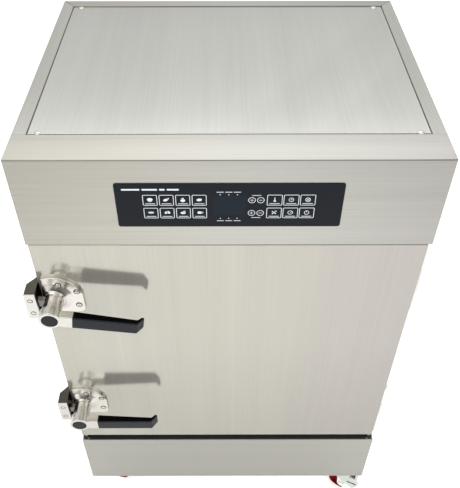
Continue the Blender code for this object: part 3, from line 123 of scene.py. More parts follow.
class Finish:
    """One material: its node tree, with short ways to add nodes and feed sockets."""

    def __init__(self, name, **constants):
        self.material = bpy.data.materials.new(name)
        self.material.use_nodes = True
        self.tree = self.material.node_tree
        self.surface = self.tree.nodes["Principled BSDF"]
        for label, value in constants.items():
            self.surface.inputs[label.replace("_", " ")].default_value = value

    def node(self, kind, settings=(), inputs=(), output=0):
        made = self.tree.nodes.new("ShaderNode" + kind)
        for label, value in dict(settings).items():
            if label == "stops":
                self.stops(made.color_ramp, value)
            else:
                setattr(made, label, value)
        for label, value in dict(inputs).items():
            self.feed(made.inputs[label], value)
        return Signal(self, made.outputs[output])

    def stops(self, ramp, places):
        while len(ramp.elements) < len(places):
            ramp.elements.new(1.0)
        for element, (position, level) in zip(ramp.elements, places):
            element.position = position
            element.color = (*(level if isinstance(level, tuple) else (level,) * 3), 1)

    def feed(self, socket, value):
        if isinstance(value, Signal):
            self.tree.links.new(value.socket, socket)
        else:
            socket.default_value = value

    def axis(self, name):
        """Distance along X, Y or Z, or along a pair of shares of X and Y."""
        if isinstance(name, tuple):
            return self.axis("X") * name[0] + self.axis("Y") * name[1]
        here = self.node("TexCoord", output="Object")
        return self.node("SeparateXYZ", (), {0: here}, output=name)

    def noise(self, scale, detail, roughness, shift=(0, 0, 0)):
        """Soft noise between 0 and 1; scale is waves a metre, one number or one for each axis."""
        stretch = scale if isinstance(scale, tuple) else (scale,) * 3
        here = self.node("TexCoord", output="Object")
        spot = self.node("Mapping", (), {"Vector": here, "Scale": stretch, "Location": shift})
        inputs = {"Vector": spot, "Scale": 1.0, "Detail": detail, "Roughness": roughness}
        return self.node("TexNoise", (), inputs)

    def fade(self, axis, start, end, levels):
        """Lightness or colour that changes by stops between two places on an axis."""
        share = (self.axis(axis) - start) / (end - start)
        return self.node("ValToRGB", {"stops": levels}, {0: share})

    def mix(self, factor, one, two):
        return self.node("Mix", {"data_type": "RGBA"}, {0: factor, 6: one, 7: two}, output=2)

    def times(self, one, two):
        """Two colours multiplied."""
        settings = {"data_type": "RGBA", "blend_type": "MULTIPLY"}
        return self.node("Mix", settings, {0: 1.0, 6: one, 7: two}, output=2)

    def tint(self, colour, amount):
        """A colour made lighter and darker by a signal around 1."""
        grey = self.node("CombineColor", (), {0: amount, 1: amount, 2: amount})
        return self.times((*colour, 1), grey)

    def bump(self, height, distance, strength):
        inputs = {"Height": height, "Distance": distance, "Strength": strength}
        return self.node("Bump", (), inputs)

    def set(self, **values):
        for label, value in values.items():
            self.feed(self.surface.inputs[label.replace("_", " ")], value)
        return self.material


# Finishes
def sheet_colour_painted_light(tone, warmth=1.0, green_cast=1.0):
    """The sheet colour with one panel's painted light: tone is its lightness, warmth how yellow it
    looks.
    """
    red, green, blue = bpy.context.scene.steamer_steel.sheet_colour
    return red * tone, green * tone * green_cast, blue * tone / warmth


def brushed_steel(name, grain, shade, roughness, streak=1.0, painted_light_fades=()):
    """Stainless sheet brushed along one axis: long scratches, soft bands and smudges.

    The shade holds what sheet_colour_painted_light takes, the panel's painted light. Each fade
    holds an axis, its start and end in metres, and stops of lightness or colour between the two:
    painted light and shade laid over the grain.
    """
    finish = Finish(name, Metallic=0.62)

    def brushed(across, along):
        """Waves a metre across the brushing and along it."""
        return tuple(along if axis == grain else across for axis in "XYZ")

    fine = finish.noise(brushed(1500.0, 5.0), 3.0, 0.65)
    lines = finish.noise(brushed(420.0, 2.2), 3.0, 0.6, shift=(3.1, 1.7, 5.3))
    bands = finish.noise(brushed(26.0, 0.7), 2.0, 0.5, shift=(9.2, 4.4, 2.6))
    smudge = finish.noise(9.0, 3.0, 0.55, shift=(1.3, 7.9, 3.3))
    light = 1.0 + (lines - 0.5) * (0.16 * streak) + (bands - 0.5) * (0.10 * streak)
    light = light + (fine - 0.5) * (0.10 * streak)
    tone = finish.tint(sheet_colour_painted_light(*shade), light)
    # Painted light and shade laid over the grain
    for fade in painted_light_fades:
        tone = finish.times(tone, finish.fade(*fade))
    scratch = fine * 0.6 + lines * 0.4
    return finish.set(
        Base_Color=tone,
        Roughness=roughness + (fine - 0.5) * 0.04 + (smudge - 0.5) * 0.03 + (bands - 0.5) * 0.02,
        Normal=finish.bump(scratch, 0.000012 * streak, 0.4),
    )


def satin_steel(name, colour, roughness):
    """Unbrushed sheet with a soft mill grain, for the inside and the trays."""
    finish = Finish(name, Metallic=1.0)
    grain = finish.noise((260.0, 40.0, 260.0), 3.0, 0.6)
    cloud = finish.noise(14.0, 3.0, 0.5)
    return finish.set(
        Base_Color=finish.tint(colour, 0.95 + grain * 0.06 + cloud * 0.04),
        Roughness=roughness + (grain - 0.5) * 0.10 + (cloud - 0.5) * 0.10,
        Normal=finish.bump(grain, 0.00005, 0.4),
    )


def cast_metal(name, colour, roughness, pits=0.00008, tone=0.10):
    """Plated casting with a faint orange peel."""
    finish = Finish(name, Metallic=1.0)
    peel = finish.noise(700.0, 3.0, 0.6)
    cloud = finish.noise(60.0, 3.0, 0.5)
    return finish.set(
        Base_Color=finish.tint(colour, 1.0 + (cloud - 0.5) * tone),
        Roughness=roughness + (peel - 0.5) * 0.10 + (cloud - 0.5) * 0.12,
        Normal=finish.bump(peel, pits, 0.5),
    )


def moulded(name, colour, roughness, shine=0.5, grain=900.0, depth=0.00006):
    """Moulded plastic, rubber or paint with a fine spark texture."""
    finish = Finish(name, Specular_IOR_Level=shine)
    texture = finish.noise(grain, 3.0, 0.6)
    cloud = finish.noise(45.0, 2.0, 0.5)
    return finish.set(
        Base_Color=finish.tint(colour, 0.90 + cloud * 0.14 + texture * 0.06),
        Roughness=roughness + (texture - 0.5) * 0.12 + (cloud - 0.5) * 0.08,
        Normal=finish.bump(texture, depth, 0.6),
    )


def touch_glass(name, colour, window_colour, roughness):
    """Printed gloss film over the keys, with a darker window for the display."""
    finish = Finish(name, Specular_IOR_Level=0.10)
    panel = bpy.context.scene.steamer_panel
    across = finish.axis("X").size().under(panel.window_width / 2)
    up = (finish.axis("Z") - panel.centre_z).size().under(panel.window_height / 2)
    waves = finish.noise(160.0, 2.0, 0.5)
    return finish.set(
        Base_Color=finish.mix(across * up, (*colour, 1), (*window_colour, 1)),
        Roughness=roughness + (waves - 0.5) * 0.06,
        Normal=finish.bump(waves, 0.00003, 0.3),
    )


def floor_finish(name, colour):
    """Pale seamless floor that glows a little, so that no wall shows behind it."""
    finish = Finish(name, Roughness=0.75, Emission_Strength=0.4)
    cloud = finish.noise(1.2, 3.0, 0.5)
    pale = finish.tint(colour, 0.985 + cloud * 0.03)
    return finish.set(Base_Color=pale, Emission_Color=(1, 1, 1, 1))


def card_finish(name, grey, glow, start, end):
    """Matt card whose own glow changes along Y, so that the sheets mirror a soft gradient."""
    finish = Finish(name, Roughness=0.9, Emission_Strength=1.0)
    level = finish.fade("Y", start, end, glow)
    return finish.set(Base_Color=(grey, grey, grey, 1), Emission_Color=level)


FINISHES = {}


def finish_named(name):
    """Makes each finish once, when a piece first asks for it."""
    if name not in FINISHES:
        maker, *values = RECIPES[name]
        FINISHES[name] = maker(name, *values)
    return FINISHES[name]


# How a sheet's painted light and shade change over its length: an axis, its start and end in
# metres, and its stops
# Painted shade: darker towards both ends, warmer at the left end and cooler at the right
ENDS_PAINTED_SHADE = (
    "X", -0.35, 0.35,
    (
        (0.0, (0.83, 0.81, 0.785)), (0.22, (0.93, 0.905, 0.885)), (0.36, (0.985, 0.97, 0.96)),
        (0.5, 1.0), (0.62, (0.98, 0.99, 1.0)), (0.78, (0.91, 0.91, 0.92)),
        (1.0, (0.82, 0.805, 0.825)),
    ),
)
# Painted reflection: a dark line just under the top edge, along the fold
FOLD_PAINTED_REFLECTION = (
    "Z", TOP - 0.004, TOP + 0.001,
    ((0.0, 1.0), (0.34, 1.0), (0.42, 0.5), (0.70, 0.5), (0.78, 1.0), (1.0, 1.0)),
)
# Painted shade: the door a little darker at its left edge, and darker and bluer towards its right
# edge
DOOR_PAINTED_SHADE = (
    "X", -0.345, 0.345,
    (
        (0.0, (0.96, 0.95, 0.945)), (0.1, 1.0), (0.5, 1.0), (0.7, (0.97, 0.96, 0.98)),
        (0.85, (0.92, 0.90, 0.945)), (1.0, (0.88, 0.86, 0.91)),
    ),
)
# Painted light and shade on the cover: darker towards the back and the left, with soft diagonal
# bands
COVER_PAINTED_LIGHT = (
    ("Y", -0.21, 0.27, ((0.0, 0.97), (0.25, 1.0), (0.5, 0.96), (0.75, 0.92), (1.0, 0.84))),
    ("X", -0.325, 0.325, ((0.0, 0.93), (0.2, 0.955), (0.4, 1.0), (0.8, 1.0), (1.0, 0.985))),
    (
        (0.82, -0.57), 0.0, 0.4,
        (
            (0.0, 0.99), (0.26, 1.0), (0.34, 0.96), (0.46, 0.965), (0.57, 0.99), (0.64, 0.95),
            (1.0, 0.975),
        ),
    ),
)

# Each finish: its maker, and what the maker is given after the name
RECIPES = {
    # The brushed sheets are copies of one sheet colour, each made lighter, darker or warmer by
    # painted light and shade
    "steel_door": (brushed_steel, "Z", (0.665, 1.055), 0.12, 1.0, (DOOR_PAINTED_SHADE,)),
    "steel_across": (brushed_steel, "X", (0.65, 1.0, 1.015), 0.13, 1.6, (ENDS_PAINTED_SHADE, FOLD_PAINTED_REFLECTION)),
    # The lower panel is a darker copy of the sheet: painted shade
    "steel_low": (brushed_steel, "X", (0.60, 1.02, 1.01), 0.13),
    "steel_lengthwise": (brushed_steel, "Y", (0.61, 0.985, 1.03), 0.22, 1.4),
    "steel_cover": (brushed_steel, "Y", (0.805, 0.955, 1.03), 0.18, 1.3, COVER_PAINTED_LIGHT),
    "steel_inside": (satin_steel, (0.50, 0.49, 0.47), 0.34),
    "steel_tray": (satin_steel, (0.52, 0.51, 0.49), 0.28),
    "steel_frame": (satin_steel, (0.50, 0.49, 0.47), 0.42),
    "nickel_cast": (cast_metal, (0.60, 0.575, 0.54), 0.22, 0.00005),
    "nickel_bright": (cast_metal, (0.55, 0.54, 0.505), 0.18, 0.00004),
    # Dark steel for the keepers, and for the rings of painted shade round the screws
    "steel_dark": (cast_metal, (0.07, 0.062, 0.052), 0.26, 0.00006, 0.6),
    # A darker steel for the spindle
    "steel_worn": (cast_metal, (0.16, 0.15, 0.14), 0.20, 0.00005),
    "zinc": (cast_metal, (0.74, 0.77, 0.75), 0.12, 0.00005, 0.16),
    "screw_steel": (cast_metal, (0.60, 0.60, 0.57), 0.22, 0.00004),
    "brass": (cast_metal, (0.70, 0.48, 0.20), 0.30, 0.0001, 0.20),
    "grip_plastic": (moulded, (0.0085, 0.0095, 0.0135), 0.26, 0.15),
    # Near-black with almost no shine, for the painted shade on top of the grips
    "pad_plastic": (moulded, (0.0012, 0.0012, 0.0014), 0.7, 0.03),
    "cap_plastic": (moulded, (0.011, 0.012, 0.0145), 0.45, 0.15),
    "gland_plastic": (moulded, (0.018, 0.018, 0.019), 0.5),
    "red_tread": (moulded, (0.13, 0.0003, 0.0005), 0.5, 0.02, 300.0, 0.00003),
    "red_vinyl": (moulded, (0.48, 0.02, 0.015), 0.38),
    "silicone": (moulded, (0.62, 0.61, 0.57), 0.55, 0.5, 500.0),
    # Black for the ring in the gap round the cover, and for the strips of painted shadow and shade
    "seal_black": (moulded, (0.012, 0.012, 0.012), 0.7),
    "foam": (moulded, (0.78, 0.70, 0.48), 0.9, 0.5, 220.0, 0.0004),
    "panel_gloss": (touch_glass, (0.0075, 0.0095, 0.0135), (0.008, 0.013, 0.020), 0.20),
    "print_white": (moulded, (0.62, 0.66, 0.70), 0.45, 0.5, 1500.0, 0.00001),
    "print_grey": (moulded, (0.40, 0.43, 0.47), 0.45, 0.5, 1500.0, 0.00001),
}

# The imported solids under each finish; a name stands for every solid whose name starts with it
SOLIDS = {
    "steel_door": ("door_skin",),
    "steel_across": ("back_panel", "control_fascia"),
    "steel_low": ("lower_panel",),
    "steel_lengthwise": ("side_panel",),
    "steel_cover": ("top_cover",),
    "steel_inside": (
        "door_frame", "chamber_liner", "water_tank", "steam_plate", "tray_rack", "door_inner_panel",
    ),
    "steel_tray": ("heating_elements", "exhaust_vent", "tray"),
    "steel_frame": ("base_frame",),
    "nickel_cast": ("latch_housing",),
    "nickel_bright": ("hinge_leaf", "strike_plate", "lever"),
    "steel_dark": ("keeper_bracket",),
    "steel_worn": ("spindle",),
    "zinc": ("caster_plate", "caster_fork", "caster_brake"),
    "brass": ("inlet_valve", "drain_valve"),
    "grip_plastic": ("grip",),
    "gland_plastic": ("cable_gland",),
    "red_tread": ("caster_wheel",),
    "red_vinyl": ("drain_lever",),
    "silicone": ("door_gasket",),
    "foam": ("insulation",),
    "panel_gloss": ("control_panel",),
}


def finish_of(node):
    """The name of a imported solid's finish, by the longest start that fits the solid's name."""
    fits = [(start, name) for name in SOLIDS for start in SOLIDS[name] if node.startswith(start)]
    return max(fits, key=lambda fit: len(fit[0]))[1]


# Shapes
def linked(name, data):
    """A new object in the scene."""
    obj = bpy.data.objects.new(name, data)
    bpy.context.scene.collection.objects.link(obj)
    return obj


def mesh_of(name, bm):
    """Hands a bmesh over to a new mesh."""
    mesh = bpy.data.meshes.new(name)
    bm.to_mesh(mesh)
    bm.free()
    return mesh


def piece(name, bm, finish, body, replaces=(), crease_deg=35.0):
    """Turns a bmesh into a named piece that rides on one body."""
    mesh = mesh_of(name, bm)
    mesh.shade_smooth()
    mesh.set_sharp_from_angle(angle=math.radians(crease_deg))
    mesh.materials.append(finish_named(finish))
    obj = linked(name, mesh)
    # Flat faces keep their own normals, so the sheets mirror straight.
    weighted = obj.modifiers.new("flat_faces", "WEIGHTED_NORMAL")
    weighted.weight = 100
    weighted.keep_sharp = True
    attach(obj, body)
    if replaces:
        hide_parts(*replaces)


def gathered(shapes, matrix=Matrix()):
    """Several closed shapes in one bmesh."""
    total = bmesh.new()
    for shape in shapes:
        mesh = mesh_of("part", shape)
        total.from_mesh(mesh)
        bpy.data.meshes.remove(mesh)
    return moved(total, matrix)


def at(x, y, z=0.0):
    """A move to a place, in metres."""
    return Matrix.Translation((x, y, z))


def in_mm(*points):
    """The points of a profile or outline, given in millimetres and returned in metres."""
    return [(across * MM, up * MM) for across, up in points]


def moved(bm, matrix):
    bmesh.ops.transform(bm, matrix=matrix, verts=bm.verts)
    return bm


def turned(profile, sides, matrix=Matrix()):
    """Spins a line of (radius, height) points about local Z into a closed shape."""
    bm = bmesh.new()
    verts = [bm.verts.new((radius, 0, height)) for radius, height in profile]
    edges = [bm.edges.new(pair) for pair in zip(verts, verts[1:])]
    if profile[0][0] > 0 and profile[-1][0] > 0:
        edges.append(bm.edges.new((verts[-1], verts[0])))
    bmesh.ops.spin(
        bm, geom=verts + edges, cent=(0, 0, 0), axis=(0, 0, 1), angle=math.tau, steps=sides,
        use_merge=True,
    )
    bmesh.ops.remove_doubles(bm, verts=bm.verts, dist=1e-7)
    bmesh.ops.recalc_face_normals(bm, faces=bm.faces[:])
    return moved(bm, matrix)


def round_corners(bm, verts, radius, steps):
    bmesh.ops.bevel(
        bm, geom=verts, offset=radius, segments=steps, profile=0.5, affect="VERTICES", material=-1
    )


def tile(width, height, radius=0.0, steps=6):
    """A flat rectangle in the XY plane with round corners."""
    bm = bmesh.new()
    matrix = Matrix.Diagonal((width, height, 1, 1))
    bmesh.ops.create_grid(bm, x_segments=1, y_segments=1, size=0.5, matrix=matrix)
    if radius:
        round_corners(bm, bm.verts[:], radius, steps)
    return bm


def disc(radius, sides, squash=1.0):
    bm = bmesh.new()
    bmesh.ops.create_circle(bm, cap_ends=True, radius=radius, segments=sides)
    return moved(bm, Matrix.Diagonal((1, squash, 1, 1)))


def ring_of(bm, width):
    """Leaves only the rim of a flat shape."""
    bm.faces.ensure_lookup_table()
    inner = bm.faces[0]
    bmesh.ops.inset_individual(bm, faces=[inner], thickness=width)
    bmesh.ops.delete(bm, geom=[inner], context="FACES")
    return bm


def raised(bm, height):
    """Gives a flat shape its thickness."""
    made = bmesh.ops.extrude_face_region(bm, geom=bm.faces[:])["geom"]
    verts = [item for item in made if isinstance(item, bmesh.types.BMVert)]
    bmesh.ops.translate(bm, verts=verts, vec=(0, 0, height))
    bmesh.ops.recalc_face_normals(bm, faces=bm.faces[:])
    return bm


def outline(points, height, corners=()):
    """A plate from its corner points in the XY plane; corners lists (index, radius) to round."""
    bm = bmesh.new()
    verts = [bm.verts.new((u, v, 0)) for u, v in points]
    edges = [bm.edges.new(pair) for pair in zip(verts, verts[1:] + verts[:1])]
    bmesh.ops.contextual_create(bm, geom=edges)
    for index, radius in corners:
        round_corners(bm, [verts[index]], radius, 8)
    return raised(bm, height)


def soften(bm, width, segments, over_deg=40.0, chosen=None):
    """Rounds the sharp edges, or those of them that a test picks."""
    limit = math.radians(over_deg)
    edges = []
    for edge in bm.edges:
        if len(edge.link_faces) == 2 and edge.calc_face_angle() > limit:
            if chosen is None or chosen(*(vert.co for vert in edge.verts)):
                edges.append(edge)
    bmesh.ops.bevel(
        bm, geom=edges, offset=width, segments=segments, profile=0.5, affect="EDGES", material=-1,
        clamp_overlap=True,
    )
    return bm


def above(height):
    """Picks the edges that lie wholly above a height."""
    return lambda one, two: min(one.z, two.z) > height


def merged_copy(node):
    """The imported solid's mesh, with its loose triangles joined and its flat faces made whole."""
    bm = bmesh.new()
    bm.from_mesh(NODES[node].data)
    bmesh.ops.remove_doubles(bm, verts=bm.verts, dist=1e-5)
    flat = math.radians(0.6)
    bmesh.ops.dissolve_limit(bm, angle_limit=flat, verts=bm.verts, edges=bm.edges)
    return bm


def facing_out(x, y, z, turn_deg=0.0):
    """Puts a shape drawn in the XY plane on a front surface, its height towards the viewer."""
    return at(x, y, z) @ Matrix.Rotation(math.radians(turn_deg), 4, "Y") @ UPRIGHT


def facing_side(side, x, y, z):
    """Puts a shape on a side surface; side is 1 for right and -1 for left."""
    return at(x, y, z) @ Matrix.Rotation(side * math.pi / 2, 4, "Y")


def carved(bm, tool, operation="DIFFERENCE"):
    """One closed shape cut by or joined to another."""
    scratch = [linked("scratch", mesh_of("scratch", shape)) for shape in (bm, tool)]
    modifier = scratch[0].modifiers.new("carve", "BOOLEAN")
    modifier.operation = operation
    modifier.solver = "EXACT"
    modifier.object = scratch[1]
    bpy.context.view_layer.update()
    graph = bpy.context.evaluated_depsgraph_get()
    result = bmesh.new()
    result.from_mesh(scratch[0].evaluated_get(graph).to_mesh())
    for obj in scratch:
        mesh = obj.data
        bpy.data.objects.remove(obj)
        bpy.data.meshes.remove(mesh)
    return result


def block(middle, size):
    """A box from its middle and its sides."""
    bm = bmesh.new()
    bmesh.ops.create_cube(bm, size=1, matrix=at(*middle) @ Matrix.Diagonal((*size, 1)))
    return bm


def dome_screw(radius, height, matrix, recess="cross"):
    """A pan-head screw with a domed top and a cross or hexagon recess, or none."""
    rim = height * 0.27
    profile = [(0, 0), (radius, 0), (radius, rim)]
    for angle in (math.radians(15 * step) for step in range(1, 6)):
        profile.append((radius * math.cos(angle) ** 0.7, rim + (height - rim) * math.sin(angle)))
    head = turned(profile + [(0, height)], 32)
    if recess is None:
        return moved(head, matrix)
    depth = height * 0.75
    if recess == "cross":
        length, slot = radius * 1.05, radius * 0.24
        arms = [raised(tile(length, slot), depth) for _ in range(2)]
        cutter = carved(arms[0], moved(arms[1], Matrix.Rotation(math.pi / 2, 4, "Z")), "UNION")
    else:
        cutter = raised(disc(radius * 0.5, 6), depth)
    moved(cutter, at(0, 0, height - depth * 0.6))
    return moved(carved(head, cutter), matrix)


def screw(name, body, head, matrix, recess="cross"):
    """One screw as a piece; head is its radius and height."""
    bm = dome_screw(*head, matrix, recess)
    piece(name, bm, "screw_steel", body)


def screw_shade_ring(name, body, ring, matrix):
    """A dark ring of painted shade round a screw's head, as a piece; ring is its two radii and its
    height.
    """
    inner, outer, height = ring
    bm = turned([(inner, 0), (outer, 0), (outer, height), (inner, height)], 32, matrix)
    piece(name, bm, "steel_dark", body)


# Screw heads, as radius and height, and the dark rings of painted shade round them, as two radii
# and a height
COVER_HEAD = (0.0056, 0.0021)
LATCH_HEAD, LATCH_SHADE_RING = (0.0044, 0.0020), (0.0046, 0.0062, 0.0005)
STRIKE_HEAD, STRIKE_SHADE_RING = (0.0036, 0.0011), (0.0038, 0.0050, 0.0004)
PLATE_HEAD = (0.0045, 0.0022)


# Pieces
class STEAMER_OT_stage(bpy.types.Operator):
    """Camera, pale floor and soft studio light"""

    bl_idname = "steamer.stage"
    bl_label = "Stage"

    def execute(self, context):
        view = context.scene.steamer_view
        context.scene.camera = photo_camera(view)
        mesh = mesh_of("floor", tile(view.floor_size, view.floor_size))
        mesh.materials.append(floor_finish("floor", tuple(view.floor_colour)))
        linked("floor", mesh)
        for card in CARDS:
            glow_card(*card)
        world = bpy.data.worlds.new("studio")
        world.use_nodes = True
        background = world.node_tree.nodes["Background"]
        background.inputs["Color"].default_value = (*view.world_colour, 1)
        background.inputs["Strength"].default_value = view.world_strength
        context.scene.world = world
        for light in LIGHTS:
            area_light(*light)
        context.scene.view_settings.view_transform = "Standard"
        return {"FINISHED"}


def photo_camera(view):
    """The camera where the photograph was taken."""
    data = bpy.data.cameras.new("camera")
    data.lens = view.lens
    data.sensor_width = 36.0
    data.shift_x = view.shift_x
    data.shift_y = view.shift_y
    data.clip_end = 50.0
    camera = linked("camera", data)
    camera.location = view.location
    heading = Matrix.Rotation(-view.yaw, 4, "Z")
    look = heading @ Matrix.Rotation(math.pi / 2 - view.pitch, 4, "X")
    camera.rotation_euler = (look @ Matrix.Rotation(-view.roll, 4, "Z")).to_euler()
    return camera


def glow_card(name, size, place, tilt, grey, glow):
    """A card that only shows in reflections."""
    turn = Matrix.Rotation(math.radians(tilt), 4, "X")
    mesh = mesh_of(name, moved(tile(*size), at(*place) @ turn))
    start, end = place[1] - size[1] / 2, place[1] + size[1] / 2
    mesh.materials.append(card_finish(name, grey, glow, start, end))
    card = linked(name, mesh)
    card.visible_camera = False
    card.visible_diffuse = False
    card.visible_shadow = False
    return card


def area_light(name, place, target, size, power, colour):
    """A soft rectangular lamp turned to its target."""
    lamp = bpy.data.lights.new(name, "AREA")
    lamp.shape = "RECTANGLE"
    lamp.size, lamp.size_y = size
    lamp.energy = power
    lamp.color = colour
    obj = linked(name, lamp)
    obj.location = place
    way = Vector(target) - Vector(place)
    obj.rotation_euler = way.to_track_quat("-Z", "Y").to_euler()


# Area lights: name, place, target, size, power in watts and colour
LIGHTS = (
    ("key", (-1.6, -2.6, 2.6), (0.0, 0.0, 0.6), (2.4, 2.0), 26.0, (1.0, 0.99, 0.97)),
    ("fill", (2.4, -1.8, 1.8), (0.0, 0.0, 0.6), (1.8, 1.8), 14.0, (1.0, 0.98, 0.95)),
    ("sky", (0.0, -0.3, 3.9), (0.0, 0.0, 1.0), (2.4, 1.6), 16.0, (1.0, 1.0, 0.99)),
    ("rear", (0.0, 2.3, 3.35), (0.0, -0.2, 1.1), (3.2, 0.9), 12.0, (1.0, 1.0, 1.0)),
    ("edge", (0.0, -2.3, 3.6), (0.0, -0.2, 1.0), (3.0, 0.35), 7.0, (1.0, 1.0, 1.0)),
)
# Cards that only mirror in the metal: name, size, place, tilt in degrees, grey, stops of glow
CARDS = (
    ("upright_card", (2.8, 1.3), (0.0, -2.7, 0.9), 90.0, 0.02, ((0, 0), (1, 0))),
    (
        "floor_card", (3.6, 2.52), (0.0, -1.54, 0.02), 0.0, 0.93,
        ((0.0, 0.0), (0.40, 0.0), (0.60, 0.4), (0.80, 0.4), (0.95, 0.05), (1.0, 0.0)),
    ),
)


class STEAMER_OT_finishes(bpy.types.Operator):
    """Brushed steel, plating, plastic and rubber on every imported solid"""

    bl_idname = "steamer.finishes"
    bl_label = "Finishes"

    def execute(self, context):
        for name, obj in NODES.items():
            obj.data.materials.clear()
            obj.data.materials.append(finish_named(finish_of(name)))
        return {"FINISHED"}


# How near a point lies to a face that it counts as on
FLUSH = 0.0004


def box_rim(node, longer):
    """Picks the long edges where two outer faces of a solid's box meet, apart from its back."""
    low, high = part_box(node)
    faces = ((0, low.x), (0, high.x), (1, low.y), (2, low.z), (2, high.z))

    def chosen(one, two):
        met = [
            all(abs(point[axis] - level) < FLUSH for point in (one, two)) for axis, level in faces
        ]
        return sum(met) >= 2 and (one - two).length > longer

    return chosen


def top_fold(axis, longer):
    """Picks the long edges at the very top that run along one axis."""

    def chosen(one, two):
        level = all(abs(point.z - TOP) < FLUSH for point in (one, two))
        return level and abs(one[axis] - two[axis]) > longer

    return chosen


class STEAMER_OT_sheets(bpy.types.Operator):
    """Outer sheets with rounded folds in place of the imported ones"""

    bl_idname = "steamer.sheets"
    bl_label = "Outer sheets"

    def execute(self, context):
        fold = context.scene.steamer_steel.fold_radius
        longer = 4 * fold
        for node, name, body, along in (
            ("control_fascia", "control_fascia_sheet", "cabinet", None),
            ("lower_panel", "lower_panel_sheet", "cabinet", None),
            ("door_skin", "door_skin_sheet", "door", None),
            ("side_panel_left", "side_panel_left_sheet", "cabinet", 1),
            ("side_panel_right", "side_panel_right_sheet", "cabinet", 1),
            ("back_panel", "back_sheet", "cabinet", 0),
        ):
            if along is None:
                radius, chosen = fold, box_rim(node, longer)
            else:
                radius, chosen = fold * 0.9, top_fold(along, longer)
            bm = soften(merged_copy(node), radius, 3, 60.0, chosen)
            piece(name, bm, finish_of(node), body, (node,), 30.0)
        bm = soften(merged_copy("top_cover"), 0.0003, 2, 60.0)
        piece(
            "cover_sheet", bm, "steel_cover", "cabinet",
            ("top_cover",), 30.0,
        )
        return {"FINISHED"}


class STEAMER_OT_dark_strips(bpy.types.Operator):
    """Dark strips: a black ring in the gap round the cover, painted shadow along its front edge and
    painted shade on the ledge under the door
    """

    bl_idname = "steamer.seals"
    bl_label = "Dark strips"

    def execute(self, context):
        low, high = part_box("top_cover")
        across, deep, on_top = high.x - low.x, high.y - low.y, high.z + 0.00005
        # A black ring in the gap round the cover
        lip, lip_height = 0.00105, 0.0008
        around = ring_of(tile(across + 2.1 * lip, deep + 2.1 * lip), lip)
        moved(raised(around, lip_height), at(0, (low.y + high.y) / 2, low.z + 0.0001))
        # Painted shadow: a black strip along the cover's front edge, where it meets the front strip
        strip, strip_height = 0.0026, 0.0005
        front = raised(tile(across - 0.0008, strip, 0.0004, 2), strip_height)
        bm = gathered([around, moved(front, at(0, low.y + strip / 2, on_top))])
        piece("cover_gap_and_shade", bm, "seal_black", "cabinet", crease_deg=30.0)
        bead_width, bead_height, bead_inset = 0.0018, 0.0009, 0.0040
        bead = raised(tile(across - 0.004, bead_width), bead_height)
        soften(bead, 0.00055, 3, 60.0, above(bead_height / 2))
        moved(bead, at(0, low.y + bead_inset, on_top))
        piece(
            "cover_bead", bead, "nickel_bright", "cabinet",
            crease_deg=30.0,
        )

        # Painted shade: black strips on the ledge in the gap under the door
        low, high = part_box("lower_panel")
        deep, height, inset = 0.0130, 0.0016, 0.0092
        strips = []
        for start, end in in_mm((-346.5, -337.5), (-333.5, 333.5), (337.5, 346.5)):
            strip = raised(tile(end - start, deep, 0.0006, 2), height)
            soften(strip, 0.0005, 2, 60.0, above(height / 2))
            strips.append(moved(strip, at((start + end) / 2, low.y + inset, high.z)))
        bm = gathered(strips)
        piece("sill_painted_shade", bm, "seal_black", "cabinet", crease_deg=30.0)
        return {"FINISHED"}


class STEAMER_OT_cover_screws(bpy.types.Operator):
    """Four low dome screws at the corners of the cover"""

    bl_idname = "steamer.cover_screws"
    bl_label = "Cover screws"

    def execute(self, context):
        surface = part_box("top_cover")[1].z
        from_middle, near, far = 0.309, FRONT + 0.0755, FRONT + 0.5385
        for side, tag in ((-1, "left"), (1, "right")):
            for y, end in ((near, "front"), (far, "back")):
                place = at(side * from_middle, y, surface)
                screw(f"cover_screw_{end}_{tag}", "cabinet", COVER_HEAD, place, None)
        return {"FINISHED"}


